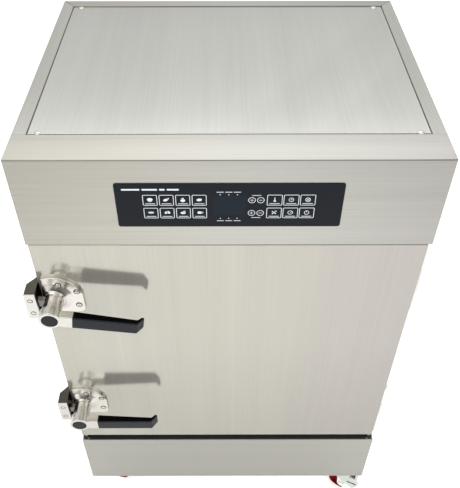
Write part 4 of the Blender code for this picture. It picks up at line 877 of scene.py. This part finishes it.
# Touch panel marks: shapes in millimetres from the middle of a key
PICTURES = {
    "bun": (("disc", 0, 1.5, 4.6, 0.72, 0), ("bar", 0, -2.6, 6.0, 0.8, 0)),
    "corn": (("disc", -1.0, 0.6, 4.4, 0.55, 24), ("disc", 2.8, 3.2, 2.2, 0.5, 40)),
    "pot": (
        ("disc", 0, -0.8, 3.8, 0.75, 0), ("disc", 0, 3.4, 1.7, 1.0, 0),
        ("bar", 0, 1.7, 6.4, 0.8, 0),
    ),
    "loaf": (("disc", 0, 0.8, 4.4, 0.62, 8),),
    "bowl": (("ring", 0, 1.2, 4.8, 1.3, 0.45), ("disc", 0, 0.6, 3.4, 0.42, 0)),
    "leaf": (("disc", -1.6, 1.2, 3.2, 0.7, 50), ("disc", 2.0, 1.6, 3.4, 0.7, -40)),
    "fish": (("disc", -0.6, 0.4, 4.2, 0.6, 0), ("disc", 1.2, 2.8, 2.2, 0.8, 20)),
    "cup": (("tile", 0.0, 1.0, 6.8, 4.8, 0), ("ring", 4.0, 1.0, 1.9, 0.7, 1.0)),
    "heat": (("bar", 0, 2.2, 1.5, 6.4, 0), ("disc", 0, -1.6, 2.0, 1.0, 0)),
    "clock": (
        ("ring", 0, 0.8, 4.2, 0.9, 1.0), ("bar", 0, 2.0, 0.8, 2.6, 0),
        ("bar", 1.0, 0.8, 2.4, 0.8, 0),
    ),
    "fan": (
        ("ring", 0, 0.8, 4.4, 0.9, 1.0), ("bar", 0, 0.8, 6.8, 1.0, 45),
        ("bar", 0, 0.8, 6.8, 1.0, -45),
    ),
    "tools": (
        ("bar", 0, 0.8, 9.0, 1.5, 42), ("bar", 0, 0.8, 9.0, 1.5, -42),
        ("disc", 2.9, 3.5, 1.5, 1.0, 0),
    ),
    "timer": (("ring", 0, 0.8, 4.4, 0.9, 0.92), ("bar", 0.8, 1.5, 3.2, 0.8, 38)),
    "power": (("ring", 0, 0.6, 4.2, 0.9, 1.0), ("bar", 0, 3.4, 0.9, 4.4, 0)),
}
# Plain bars where a heading stands, each from its start to its end in metres
TITLE_BARS = ((0.0, 0.0290), (0.0325, 0.0570), (0.0605, 0.0690), (0.0725, 0.0915))
LEFT_KEYS = (("bun", "corn", "pot", "loaf"), ("bowl", "leaf", "fish", "cup"))
RIGHT_KEYS = (("heat", "clock", "fan"), ("tools", "timer", "power"))


def flat_mark(kind, across, up, *sizes):
    """One stroke of a pictogram as a flat shape, in metres."""
    turn = 0
    if kind == "disc":
        radius, squash, turn = sizes
        shape = disc(radius * MM, 28, squash)
    elif kind == "ring":
        radius, width, squash = sizes
        shape = ring_of(disc(radius * MM, 32), width * MM)
        moved(shape, Matrix.Diagonal((1, squash, 1, 1)))
    else:
        length, width, turn = sizes
        shape = tile(length * MM, width * MM, min(length, width) * 0.3 * MM, 3)
    return moved(shape, at(across * MM, up * MM) @ Matrix.Rotation(math.radians(turn), 4, "Z"))


def faint_bar(x, z, length, height):
    """A thin bar where a word stands."""
    return moved(tile(length, height, 0.0004, 2), at(x, z))


def key_marks(panel, x, z, width, picture):
    """A key's outline and its pictogram."""
    line, corner = 0.0010, 0.0022
    shapes = [ring_of(tile(width, panel.key_height, corner, 4), line)]
    shapes += [flat_mark(*stroke) for stroke in PICTURES[picture]]
    return [moved(shape, at(x, z)) for shape in shapes]


def round_key_marks(x, z, sign):
    """A round key with a plus or a minus."""
    radius, line, stroke, stroke_width = 0.0060, 0.0009, 0.0056, 0.0008
    shapes = [ring_of(disc(radius, 36), line), tile(stroke, stroke_width)]
    if sign == "+":
        shapes.append(tile(stroke_width, stroke))
    return [moved(shape, at(x, z)) for shape in shapes]


class STEAMER_OT_control_panel(bpy.types.Operator):
    """Gloss touch panel with key outlines and plain pictograms"""

    bl_idname = "steamer.control_panel"
    bl_label = "Touch panel"

    def execute(self, context):
        panel = context.scene.steamer_panel
        piece(
            "touch_panel", panel_body(panel), "panel_gloss", "cabinet",
            ("control_panel",), 40.0,
        )
        marks, faint = panel_drawing(panel)
        film = 0.00012
        surface = facing_out(0, FRONT - GAP - GLASS + film / 4, 0)
        for name, shapes, finish in (
            ("panel_marks", marks, "print_white"), ("panel_labels", faint, "print_grey"),
        ):
            bm = gathered([raised(shape, film) for shape in shapes], surface)
            piece(name, bm, finish, "cabinet", crease_deg=30.0)
        return {"FINISHED"}


# How thick the panel's gloss plate is
GLASS = 0.0012


def panel_body(panel):
    """The gloss plate, and the case behind it that fills the opening in the sheet."""
    plate = raised(tile(panel.width, panel.height, panel.corner), GLASS)
    soften(plate, 0.0003, 2, 60.0, above(GLASS / 2))
    moved(plate, facing_out(0, FRONT - GAP, panel.centre_z))
    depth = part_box("control_panel")[1].y - FRONT
    width, height = panel.width - 0.030, 0.058
    case = block((0, FRONT + depth / 2 - GAP, panel.centre_z), (width, depth, height))
    return gathered([plate, case])


def panel_drawing(panel):
    """The white marks and the faint bars as flat shapes, at their places across and up."""
    marks, faint = [], []
    word_share, word_drop = 0.68, panel.key_height * 0.33
    for rows, start, pitch, width in (
        (LEFT_KEYS, panel.left_keys_x, panel.left_pitch, panel.left_key_width),
        (RIGHT_KEYS, panel.right_keys_x, panel.right_pitch, panel.right_key_width),
    ):
        for way, pictures in zip((1, -1), rows):
            z = panel.centre_z + panel.row_offset + way * panel.row_pitch / 2
            for column, picture in enumerate(pictures):
                x = start + column * pitch
                marks += key_marks(panel, x, z, width, picture)
                faint.append(faint_bar(x, z - word_drop, width * word_share, 0.0018))
    between_rounds, round_word_rise = 0.0435, 0.0098
    lamps_drop, lamp_word_rise, lamp_radius = 0.0021, 0.0052, 0.0009
    for way in (1, -1):
        z = panel.centre_z + panel.row_offset + way * panel.row_pitch / 2
        for column, sign in enumerate("+-"):
            marks += round_key_marks(panel.round_keys_x + column * panel.round_pitch, z, sign)
        faint.append(faint_bar(between_rounds, z + way * round_word_rise, 0.015, 0.0015))
        z = panel.centre_z + way * panel.lamp_rise - lamps_drop
        for column in (-1, 0, 1):
            x = panel.lamp_x + column * panel.lamp_pitch
            marks.append(moved(disc(lamp_radius, 16), at(x, z)))
            faint.append(faint_bar(x, z + way * lamp_word_rise, 0.0115, 0.0017))
    for start, end in TITLE_BARS:
        place = at(panel.title_x + (start + end) / 2, panel.centre_z + panel.title_rise)
        marks.append(moved(tile(end - start, 0.0032, 0.0006, 3), place))
    return marks, faint


class STEAMER_OT_latches(bpy.types.Operator):
    """Cast latch housings, levers, grips, caps and screws"""

    bl_idname = "steamer.latches"
    bl_label = "Latches"

    def execute(self, context):
        for name, (z, droop) in LATCHES.items():
            still = facing_out(LATCH_X, FRONT, z)
            turning = facing_out(LATCH_X, FRONT, z, droop)
            piece(
                f"housing_{name}", moved(latch_housing(), still), "nickel_cast", "door",
                (f"latch_housing_{name}",), 32.0,
            )
            for number, (x, y) in enumerate(LATCH_SCREWS, 1):
                place = still @ at(x, y, FLANGE - 0.0002)
                screw(f"latch_screw_{name}_{number}", "door", LATCH_HEAD, place, "socket")
                # A dark ring of painted shade round each screw
                screw_shade_ring(f"latch_shade_ring_{name}_{number}", "door", LATCH_SHADE_RING, place)
            for title, shape, finish, replaced, slot, crease_deg in (
                ("lever_arm", lever_arm, "nickel_bright", ("lever",), "bright_fittings", 32.0),
                ("handle", handle_grip, "grip_plastic", ("grip",), "handle_plastic", 32.0),
                # The grip's top gets a near-black sheet of painted shade
                ("grip_top_painted_shade", grip_top_painted_shade, "pad_plastic", (), "handle_plastic", 30.0),
                ("lever_cap", lever_cap, "cap_plastic", (), "handle_plastic", 40.0),
            ):
                piece(
                    f"{title}_{name}", moved(shape(), turning), finish, f"latch_{name}",
                    [f"{node}_{name}" for node in replaced], crease_deg,
                )
        return {"FINISHED"}


FLANGE = 0.006
LATCH_SCREWS = in_mm((10, 31.8), (41.5, 14.4), (41, -21.5))


def latch_housing():
    """The flange, its dished boss, the ring and the neck, drawn in the XY plane and up."""
    left, right, foot = -20, 51.6, -42
    bm = bmesh.new()
    bmesh.ops.create_circle(bm, cap_ends=True, radius=0.050, segments=160)
    for place, way in (((left * MM, 0, 0), (-1, 0, 0)), ((0, -0.006, 0), (0, -1, 0))):
        geometry = bm.verts[:] + bm.edges[:] + bm.faces[:]
        bmesh.ops.bisect_plane(bm, geom=geometry, plane_co=place, plane_no=way, clear_outer=True)
    flange = raised(bm, FLANGE)
    skirt = outline(
        in_mm(
            (left, -5.8), (left, foot), (right, foot), (right, 8), (48, 13.5), (40, 13.5),
            (30, -5.8),
        ),
        FLANGE, [(2, 0.012)],
    )
    plate = carved(flange, skirt, "UNION")
    bmesh.ops.dissolve_limit(
        plate, angle_limit=math.radians(0.5), verts=plate.verts, edges=plate.edges
    )
    soften(plate, 0.0013, 3, 50.0, above(0.005))
    boss = turned(
        in_mm(
            (0, 3), (33.5, 3), (33.5, 5.9), (32.5, 6.3), (30.5, 6.8), (26.5, 7.9), (23, 9.2),
            (21.2, 10.2), (20.2, 10.8), (19.9, 11.3), (19.9, 12), (19.5, 12.4), (18.1, 12.5),
            (17.5, 13.1), (17.5, 42.7), (17.1, 43.5), (16.3, 43.9), (0, 43.9),
        ),
        72,
    )
    # The boss ends flush with the flange's left edge, and its neck is open where the bolt passes
    beside, size = (left * MM - 0.05, 0, 0.005), (0.1, 0.2, 0.03)
    boss = carved(boss, block(beside, size))
    slot = outline(in_mm((0, 0), (-50, 18), (-50, -50), (22, -50)), 0.0124)
    boss = carved(boss, moved(slot, at(0, 0, 0.0135)))
    # The spindle's bore, wide behind and narrow in front
    wide, narrow = 10.9, 8.2
    bore = in_mm((0, -1), (wide, -1), (wide, 38), (narrow, 38), (narrow, 50), (0, 50))
    hole = in_mm((0, -1), (wide, -1), (wide, 20), (0, 20))
    boss = carved(boss, turned(bore, 40))
    return gathered([carved(plate, turned(hole, 40)), boss])


def lever_arm():
    """The round head with its cap seat and the flat arm that carries the grip."""
    head = turned(
        in_mm(
            (0, 44.3), (19.5, 44.3), (20.2, 44.6), (20.5, 45.3), (20.5, 62.2), (20.2, 63.2),
            (19.6, 63.8), (18.8, 64), (0, 64),
        ),
        72,
    )
    arm = outline(
        in_mm(
            (0, -12.2), (14.5, -12.2), (26, -13.5), (40, -13.5), (40, 13.5), (26, 13.5),
            (14.5, 12.2), (0, 12.2),
        ),
        0.0174,
    )
    soften(arm, 0.0016, 3, 50.0, lambda one, two: abs(one.x - two.x) > 0.005)
    body = carved(head, moved(arm, at(0, 0, 0.0465)), "UNION")
    # The seat of the cap in front, and the spindle's bore behind
    recess = in_mm((0, 61.8), (15.2, 61.8), (15.2, 66), (0, 66))
    bore = in_mm((0, 42), (8.2, 42), (8.2, 58.8), (0, 58.8))
    body = carved(carved(body, turned(recess, 72)), turned(bore, 40))
    tang = block((0.064, 0, 0.05525), (0.0520, 0.014, 0.008))
    return gathered([body, tang])


def lever_cap():
    """A push-in cap with a low crown."""
    return turned(
        in_mm(
            (0, 62), (14.6, 62), (14.8, 62.3), (14.8, 62.8), (14.5, 63.2), (13.8, 63.5),
            (11, 63.7), (6, 63.85), (0, 63.9),
        ),
        64,
    )


def handle_grip():
    """The moulded grip: a flat bar whose end turns back towards the door."""
    start, end, width = 40.3, 167.5, 0.027
    bar = outline(
        in_mm(
            (start, 46.5), (end - 12.7, 52.6), (end - 5, 45.3), (end, 47), (end - 12, 64),
            (start, 64),
        ),
        width,
    )
    bm = moved(bar, at(0, width / 2) @ UPRIGHT)
    return soften(bm, 0.0020, 4, 20.0, lambda one, two: max(one.x, two.x) > (start + 1) * MM)


def grip_top_painted_shade():
    """A near-black flat sheet on the upper side of the grip: painted shade on its top face."""
    start, end = 42.5, 167.5
    flat = outline(
        in_mm(
            (start, 48.4), (end - 12.7, 54.3), (end - 5, 47.3), (end - 2.6, 47.9),
            (end - 13.5, 62.2), (start, 62.2),
        ),
        0.0006,
    )
    return moved(flat, at(0, 0.0138) @ UPRIGHT)


class STEAMER_OT_keepers(bpy.types.Operator):
    """Strike plates and keepers with rounded edges, and the screws that hold them"""

    bl_idname = "steamer.keepers"
    bl_label = "Keepers"

    def execute(self, context):
        for name, (z, _) in LATCHES.items():
            bm = soften(merged_copy(f"strike_plate_{name}"), 0.0006, 2)
            piece(
                f"strike_{name}", bm, "nickel_bright", "cabinet",
                (f"strike_plate_{name}",), 30.0,
            )
            bracket = soften(merged_copy(f"keeper_bracket_{name}"), 0.0005, 2)
            bm = gathered([bracket, moved(keeper_foot(), at(0, 0, z - KEEPER_HALF))])
            piece(
                f"keeper_{name}", bm, "steel_dark", "cabinet",
                (f"keeper_bracket_{name}",), 30.0,
            )
            low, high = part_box(f"strike_plate_{name}")
            for number, up in enumerate((0.0165, -0.0165), 1):
                place = facing_out((low.x + high.x) / 2, low.y + GAP, z + up)
                screw(f"strike_screw_{name}_{number}", "cabinet", STRIKE_HEAD, place, "socket")
                screw_shade_ring(f"strike_shade_ring_{name}_{number}", "cabinet", STRIKE_SHADE_RING, place)
            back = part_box(f"keeper_bracket_{name}")[1].y
            for number, up in enumerate((0.020, -0.020), 1):
                place = facing_side(-1, -HALF_WIDTH - KEEPER_PLATE, back - 0.016, z + up)
                screw(f"keeper_screw_{name}_{number}", "cabinet", PLATE_HEAD, place)
        return {"FINISHED"}


def keeper_foot():
    """The web under a keeper's bracket and the lip that joins it to the strike."""
    web = outline(in_mm((-352, -303.5), (-352, -265), (-366, -282), (-366, -303.5)), 0.0033)
    lip = outline(in_mm((-347, -303.5), (-347, -279), (-352.5, -279), (-352.5, -303.5)), 0.0022)
    return carved(web, lip, "UNION")


class STEAMER_OT_hinges(bpy.types.Operator):
    """Screws on the hinge leaves"""

    bl_idname = "steamer.hinges"
    bl_label = "Hinge screws"

    def execute(self, context):
        for name in ("upper", "lower"):
            low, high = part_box(f"hinge_leaf_fixed_{name}")
            middle = (low.z + high.z) / 2
            for column, y in enumerate((high.y - 0.010, high.y - 0.030), 1):
                for row, up in enumerate((0.042, -0.042), 1):
                    place = facing_side(1, HALF_WIDTH + HINGE_LEAF, y, middle + up)
                    screw(f"hinge_screw_{name}_{column}{row}", "cabinet", PLATE_HEAD, place)
        return {"FINISHED"}


class STEAMER_OT_casters(bpy.types.Operator):
    """Round wheels on moulded cores, with brake pedals and guards on the front pair"""

    bl_idname = "steamer.casters"
    bl_label = "Casters"

    def execute(self, context):
        outer = in_mm(
            (37.5, 6), (37.1, 9), (35.8, 11.2), (33.5, 12.3), (30, 12.5), (27.8, 12.5), (27, 11.8),
            (26.2, 9.2), (12, 8.8), (10.5, 9.2), (10.5, 15.5), (10, 16), (4.3, 16),
        )
        profile = [(radius, -height) for radius, height in outer[::-1]] + outer
        for name, (x, y, trail_deg) in CASTERS.items():
            base = at(x, y) @ Matrix.Rotation(math.radians(trail_deg), 4, "Z")
            bm = turned(profile, 72, base @ at(CASTER_TRAIL, 0, AXLE_Z) @ UPRIGHT)
            piece(
                f"wheel_{name}", bm, "red_tread", f"wheel_{name}",
                (f"caster_wheel_{name}",), 35.0,
            )
            if name in ("fl", "fr"):
                brake = soften(merged_copy(f"caster_brake_{name}"), 0.0006, 2)
                bm = gathered([brake, gathered(plate_pair(BRAKE_CHEEK, CHEEK_SIDE), base)])
                piece(
                    f"pedal_{name}", bm, "zinc", f"brake_{name}",
                    (f"caster_brake_{name}",), 30.0,
                )
                guard = gathered(plate_pair(WHEEL_GUARD, GUARD_SIDE), base)
                piece(f"wheel_guard_{name}", guard, "zinc", f"swivel_{name}")
                pad = gathered(pedal_ribs(), base)
                piece(
                    f"pedal_pad_{name}", pad, "gland_plastic", f"brake_{name}"
                )
        return {"FINISHED"}


# How far a caster's pressed plates stand from its middle, and their side outlines: distance
# along the trail and height
CHEEK_SIDE, GUARD_SIDE = 0.0146, 0.0172
BRAKE_CHEEK = in_mm(
    (42.5, 76.5), (66, 74), (74, 66), (73.5, 54), (69, 40), (61, 26), (53, 16), (47, 13),
    (43.5, 14.5), (46.8, 28), (46.8, 46), (45, 56),
)
WHEEL_GUARD = in_mm(
    (34, 52), (58, 52), (68, 50), (68.5, 44), (60, 31), (50, 17.5), (43, 10.5), (38.5, 8.5),
    (34.5, 11), (33, 28),
)


def plate_pair(points, from_middle, thick=0.0015):
    """Two thin plates of one outline, one on each side of the wheel."""
    plates = []
    for y in (from_middle + thick, -from_middle):
        plate = soften(outline(points, thick), 0.0005, 2, 60.0)
        plates.append(moved(plate, at(0, y) @ UPRIGHT))
    return plates


def pedal_ribs():
    """Five rubber ribs on the pedal's slope."""
    slope = at(0.040, 0, 0.0813) @ Matrix.Rotation(math.atan2(9, 22), 4, "Y")
    first, pitch = 0.0035, 0.0045
    ribs = []
    for step in range(5):
        rib = soften(raised(tile(0.0026, 0.024), 0.0016), 0.0005, 2, 60.0)
        ribs.append(moved(rib, slope @ at(first + pitch * step, 0)))
    return ribs


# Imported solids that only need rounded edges: node, body, edge radius and slot
ROUNDED = (
    *((f"tray_{n}", f"tray_{n}", 0.0010, "brushed_steel_inner") for n in range(1, 7)),
    ("door_inner_panel", "door", 0.0012, "brushed_steel_inner"),
    ("door_gasket", "door", 0.0012, "gasket_rubber"),
    ("hinge_leaf_fixed_upper", "cabinet", 0.0007, "bright_fittings"),
    ("hinge_leaf_fixed_lower", "cabinet", 0.0007, "bright_fittings"),
    ("hinge_leaf_door_upper", "door", 0.0007, "bright_fittings"),
    ("hinge_leaf_door_lower", "door", 0.0007, "bright_fittings"),
    ("exhaust_vent", "cabinet", 0.0006, "brushed_steel_outer"),
    ("drain_valve", "cabinet", 0.0006, "valve_brass"),
    ("inlet_valve", "cabinet", 0.0006, "valve_brass"),
    ("drain_lever", "drain_handle", 0.0010, "valve_handle"),
    *((f"caster_plate_{n}", "cabinet", 0.0007, "zinc_plate") for n in CASTERS),
    *((f"caster_fork_{n}", f"swivel_{n}", 0.0007, "zinc_plate") for n in CASTERS),
)


class STEAMER_OT_rounded_solids(bpy.types.Operator):
    """Rounds the edges of trays, hinges, valves and casters"""

    bl_idname = "steamer.rounded_solids"
    bl_label = "Rounded solids"

    def execute(self, context):
        for node, body, radius, slot in ROUNDED:
            bm = soften(merged_copy(node), radius, 2, 50.0)
            piece(f"{node}_rounded", bm, finish_of(node), body, (node,), 32.0)
        return {"FINISHED"}


# Settings
class STEAMER_PG_view(bpy.types.PropertyGroup):
    location: FloatVectorProperty(
        name="Camera place", description="Where the camera stands", size=3,
        default=(-0.01042, -1.08937, 1.72154), subtype="TRANSLATION", unit="LENGTH",
    )
    pitch: FloatProperty(
        name="Pitch", description="How far the camera looks down",
        default=math.radians(44.174), subtype="ANGLE",
    )
    yaw: FloatProperty(
        name="Yaw", description="How far the camera turns right",
        default=math.radians(0.0598), subtype="ANGLE",
    )
    roll: FloatProperty(
        name="Roll", description="How far the camera leans",
        default=math.radians(0.0553), subtype="ANGLE",
    )
    lens: FloatProperty(name="Lens", description="Focal length in millimetres", default=48.424)
    shift_x: FloatProperty(name="Shift across", description="Picture shift", default=0.013307)
    shift_y: FloatProperty(name="Shift up", description="Picture shift", default=0.008453)
    floor_size: FloatProperty(
        name="Floor size", description="Side of the square floor", default=16.0, unit="LENGTH"
    )
    floor_colour: FloatVectorProperty(
        name="Floor colour", description="Pale floor", size=3, default=(0.96, 0.96, 0.955),
        subtype="COLOR",
    )
    world_colour: FloatVectorProperty(
        name="Studio colour", description="Light from all round", size=3,
        default=(1.0, 0.995, 0.98), subtype="COLOR",
    )
    world_strength: FloatProperty(name="Studio light", description="Strength of it", default=0.95)


class STEAMER_PG_steel(bpy.types.PropertyGroup):
    sheet_colour: FloatVectorProperty(
        name="Sheet colour", description="Brushed stainless sheet", size=3,
        default=(0.62, 0.605, 0.565), subtype="COLOR",
    )
    fold_radius: FloatProperty(
        name="Fold radius", description="Outside radius of the folds", default=0.0013, unit="LENGTH"
    )


def metres(name, description, default):
    """A setting in metres."""
    return FloatProperty(name=name, description=description, default=default, unit="LENGTH")


class STEAMER_PG_panel(bpy.types.PropertyGroup):
    width: metres("Width", "Touch panel", 0.368)
    height: metres("Height", "Touch panel", 0.091)
    corner: metres("Corner", "Corner radius", 0.004)
    centre_z: metres("Middle", "Height of its middle", 1.0295)
    window_width: metres("Window width", "Display", 0.052)
    window_height: metres("Window height", "Display", 0.040)
    key_height: metres("Key height", "All keys", 0.0222)
    left_key_width: metres("Left keys", "Width of each", 0.0236)
    right_key_width: metres("Right keys", "Width of each", 0.0248)
    left_keys_x: metres("First left key", "Its middle", -0.128)
    right_keys_x: metres("First right key", "Its middle", 0.073)
    left_pitch: metres("Left pitch", "Between keys", 0.0265)
    right_pitch: metres("Right pitch", "Between keys", 0.0267)
    row_pitch: metres("Row pitch", "Between rows", 0.0272)
    row_offset: metres("Row offset", "Rows above the middle", -0.0020)
    round_keys_x: metres("Round keys", "Middle of the first", 0.0364)
    round_pitch: metres("Round pitch", "Between round keys", 0.0141)
    lamp_x: metres("Lamps", "Middle of their row", -0.0010)
    lamp_pitch: metres("Lamp pitch", "Between lamps", 0.0138)
    lamp_rise: metres("Lamp rise", "From the middle", 0.0251)
    title_x: metres("Heading", "Its left end", -0.1720)
    title_rise: metres("Heading rise", "From the middle", 0.0335)


OPERATORS = (
    STEAMER_OT_stage,
    STEAMER_OT_finishes,
    STEAMER_OT_sheets,
    STEAMER_OT_dark_strips,
    STEAMER_OT_cover_screws,
    STEAMER_OT_control_panel,
    STEAMER_OT_latches,
    STEAMER_OT_keepers,
    STEAMER_OT_hinges,
    STEAMER_OT_casters,
    STEAMER_OT_rounded_solids,
)


class STEAMER_PT_sidebar(bpy.types.Panel):
    """Lists the steamer's settings and makers"""

    bl_idname = "STEAMER_PT_sidebar"
    bl_label = "Steamer cabinet"
    bl_space_type = "VIEW_3D"
    bl_region_type = "UI"
    bl_category = "Steamer"

    def draw(self, context):
        for maker in OPERATORS:
            self.layout.operator(maker.bl_idname)
        for _, group in SETTINGS:
            settings = getattr(context.scene, group)
            for name in settings.__annotations__:
                self.layout.prop(settings, name)


SETTINGS = (
    (STEAMER_PG_view, "steamer_view"),
    (STEAMER_PG_steel, "steamer_steel"),
    (STEAMER_PG_panel, "steamer_panel"),
)


def register():
    for group, name in SETTINGS:
        bpy.utils.register_class(group)
        setattr(bpy.types.Scene, name, PointerProperty(type=group))
    for maker in (*OPERATORS, STEAMER_PT_sidebar):
        bpy.utils.register_class(maker)


def unregister():
    for maker in (STEAMER_PT_sidebar, *OPERATORS[::-1]):
        bpy.utils.unregister_class(maker)
    for group, name in SETTINGS[::-1]:
        delattr(bpy.types.Scene, name)
        bpy.utils.unregister_class(group)


def main():
    register()
    for maker in OPERATORS:
        group, action = maker.bl_idname.split(".")
        getattr(getattr(bpy.ops, group), action)()


if __name__ == "__main__":
    main()
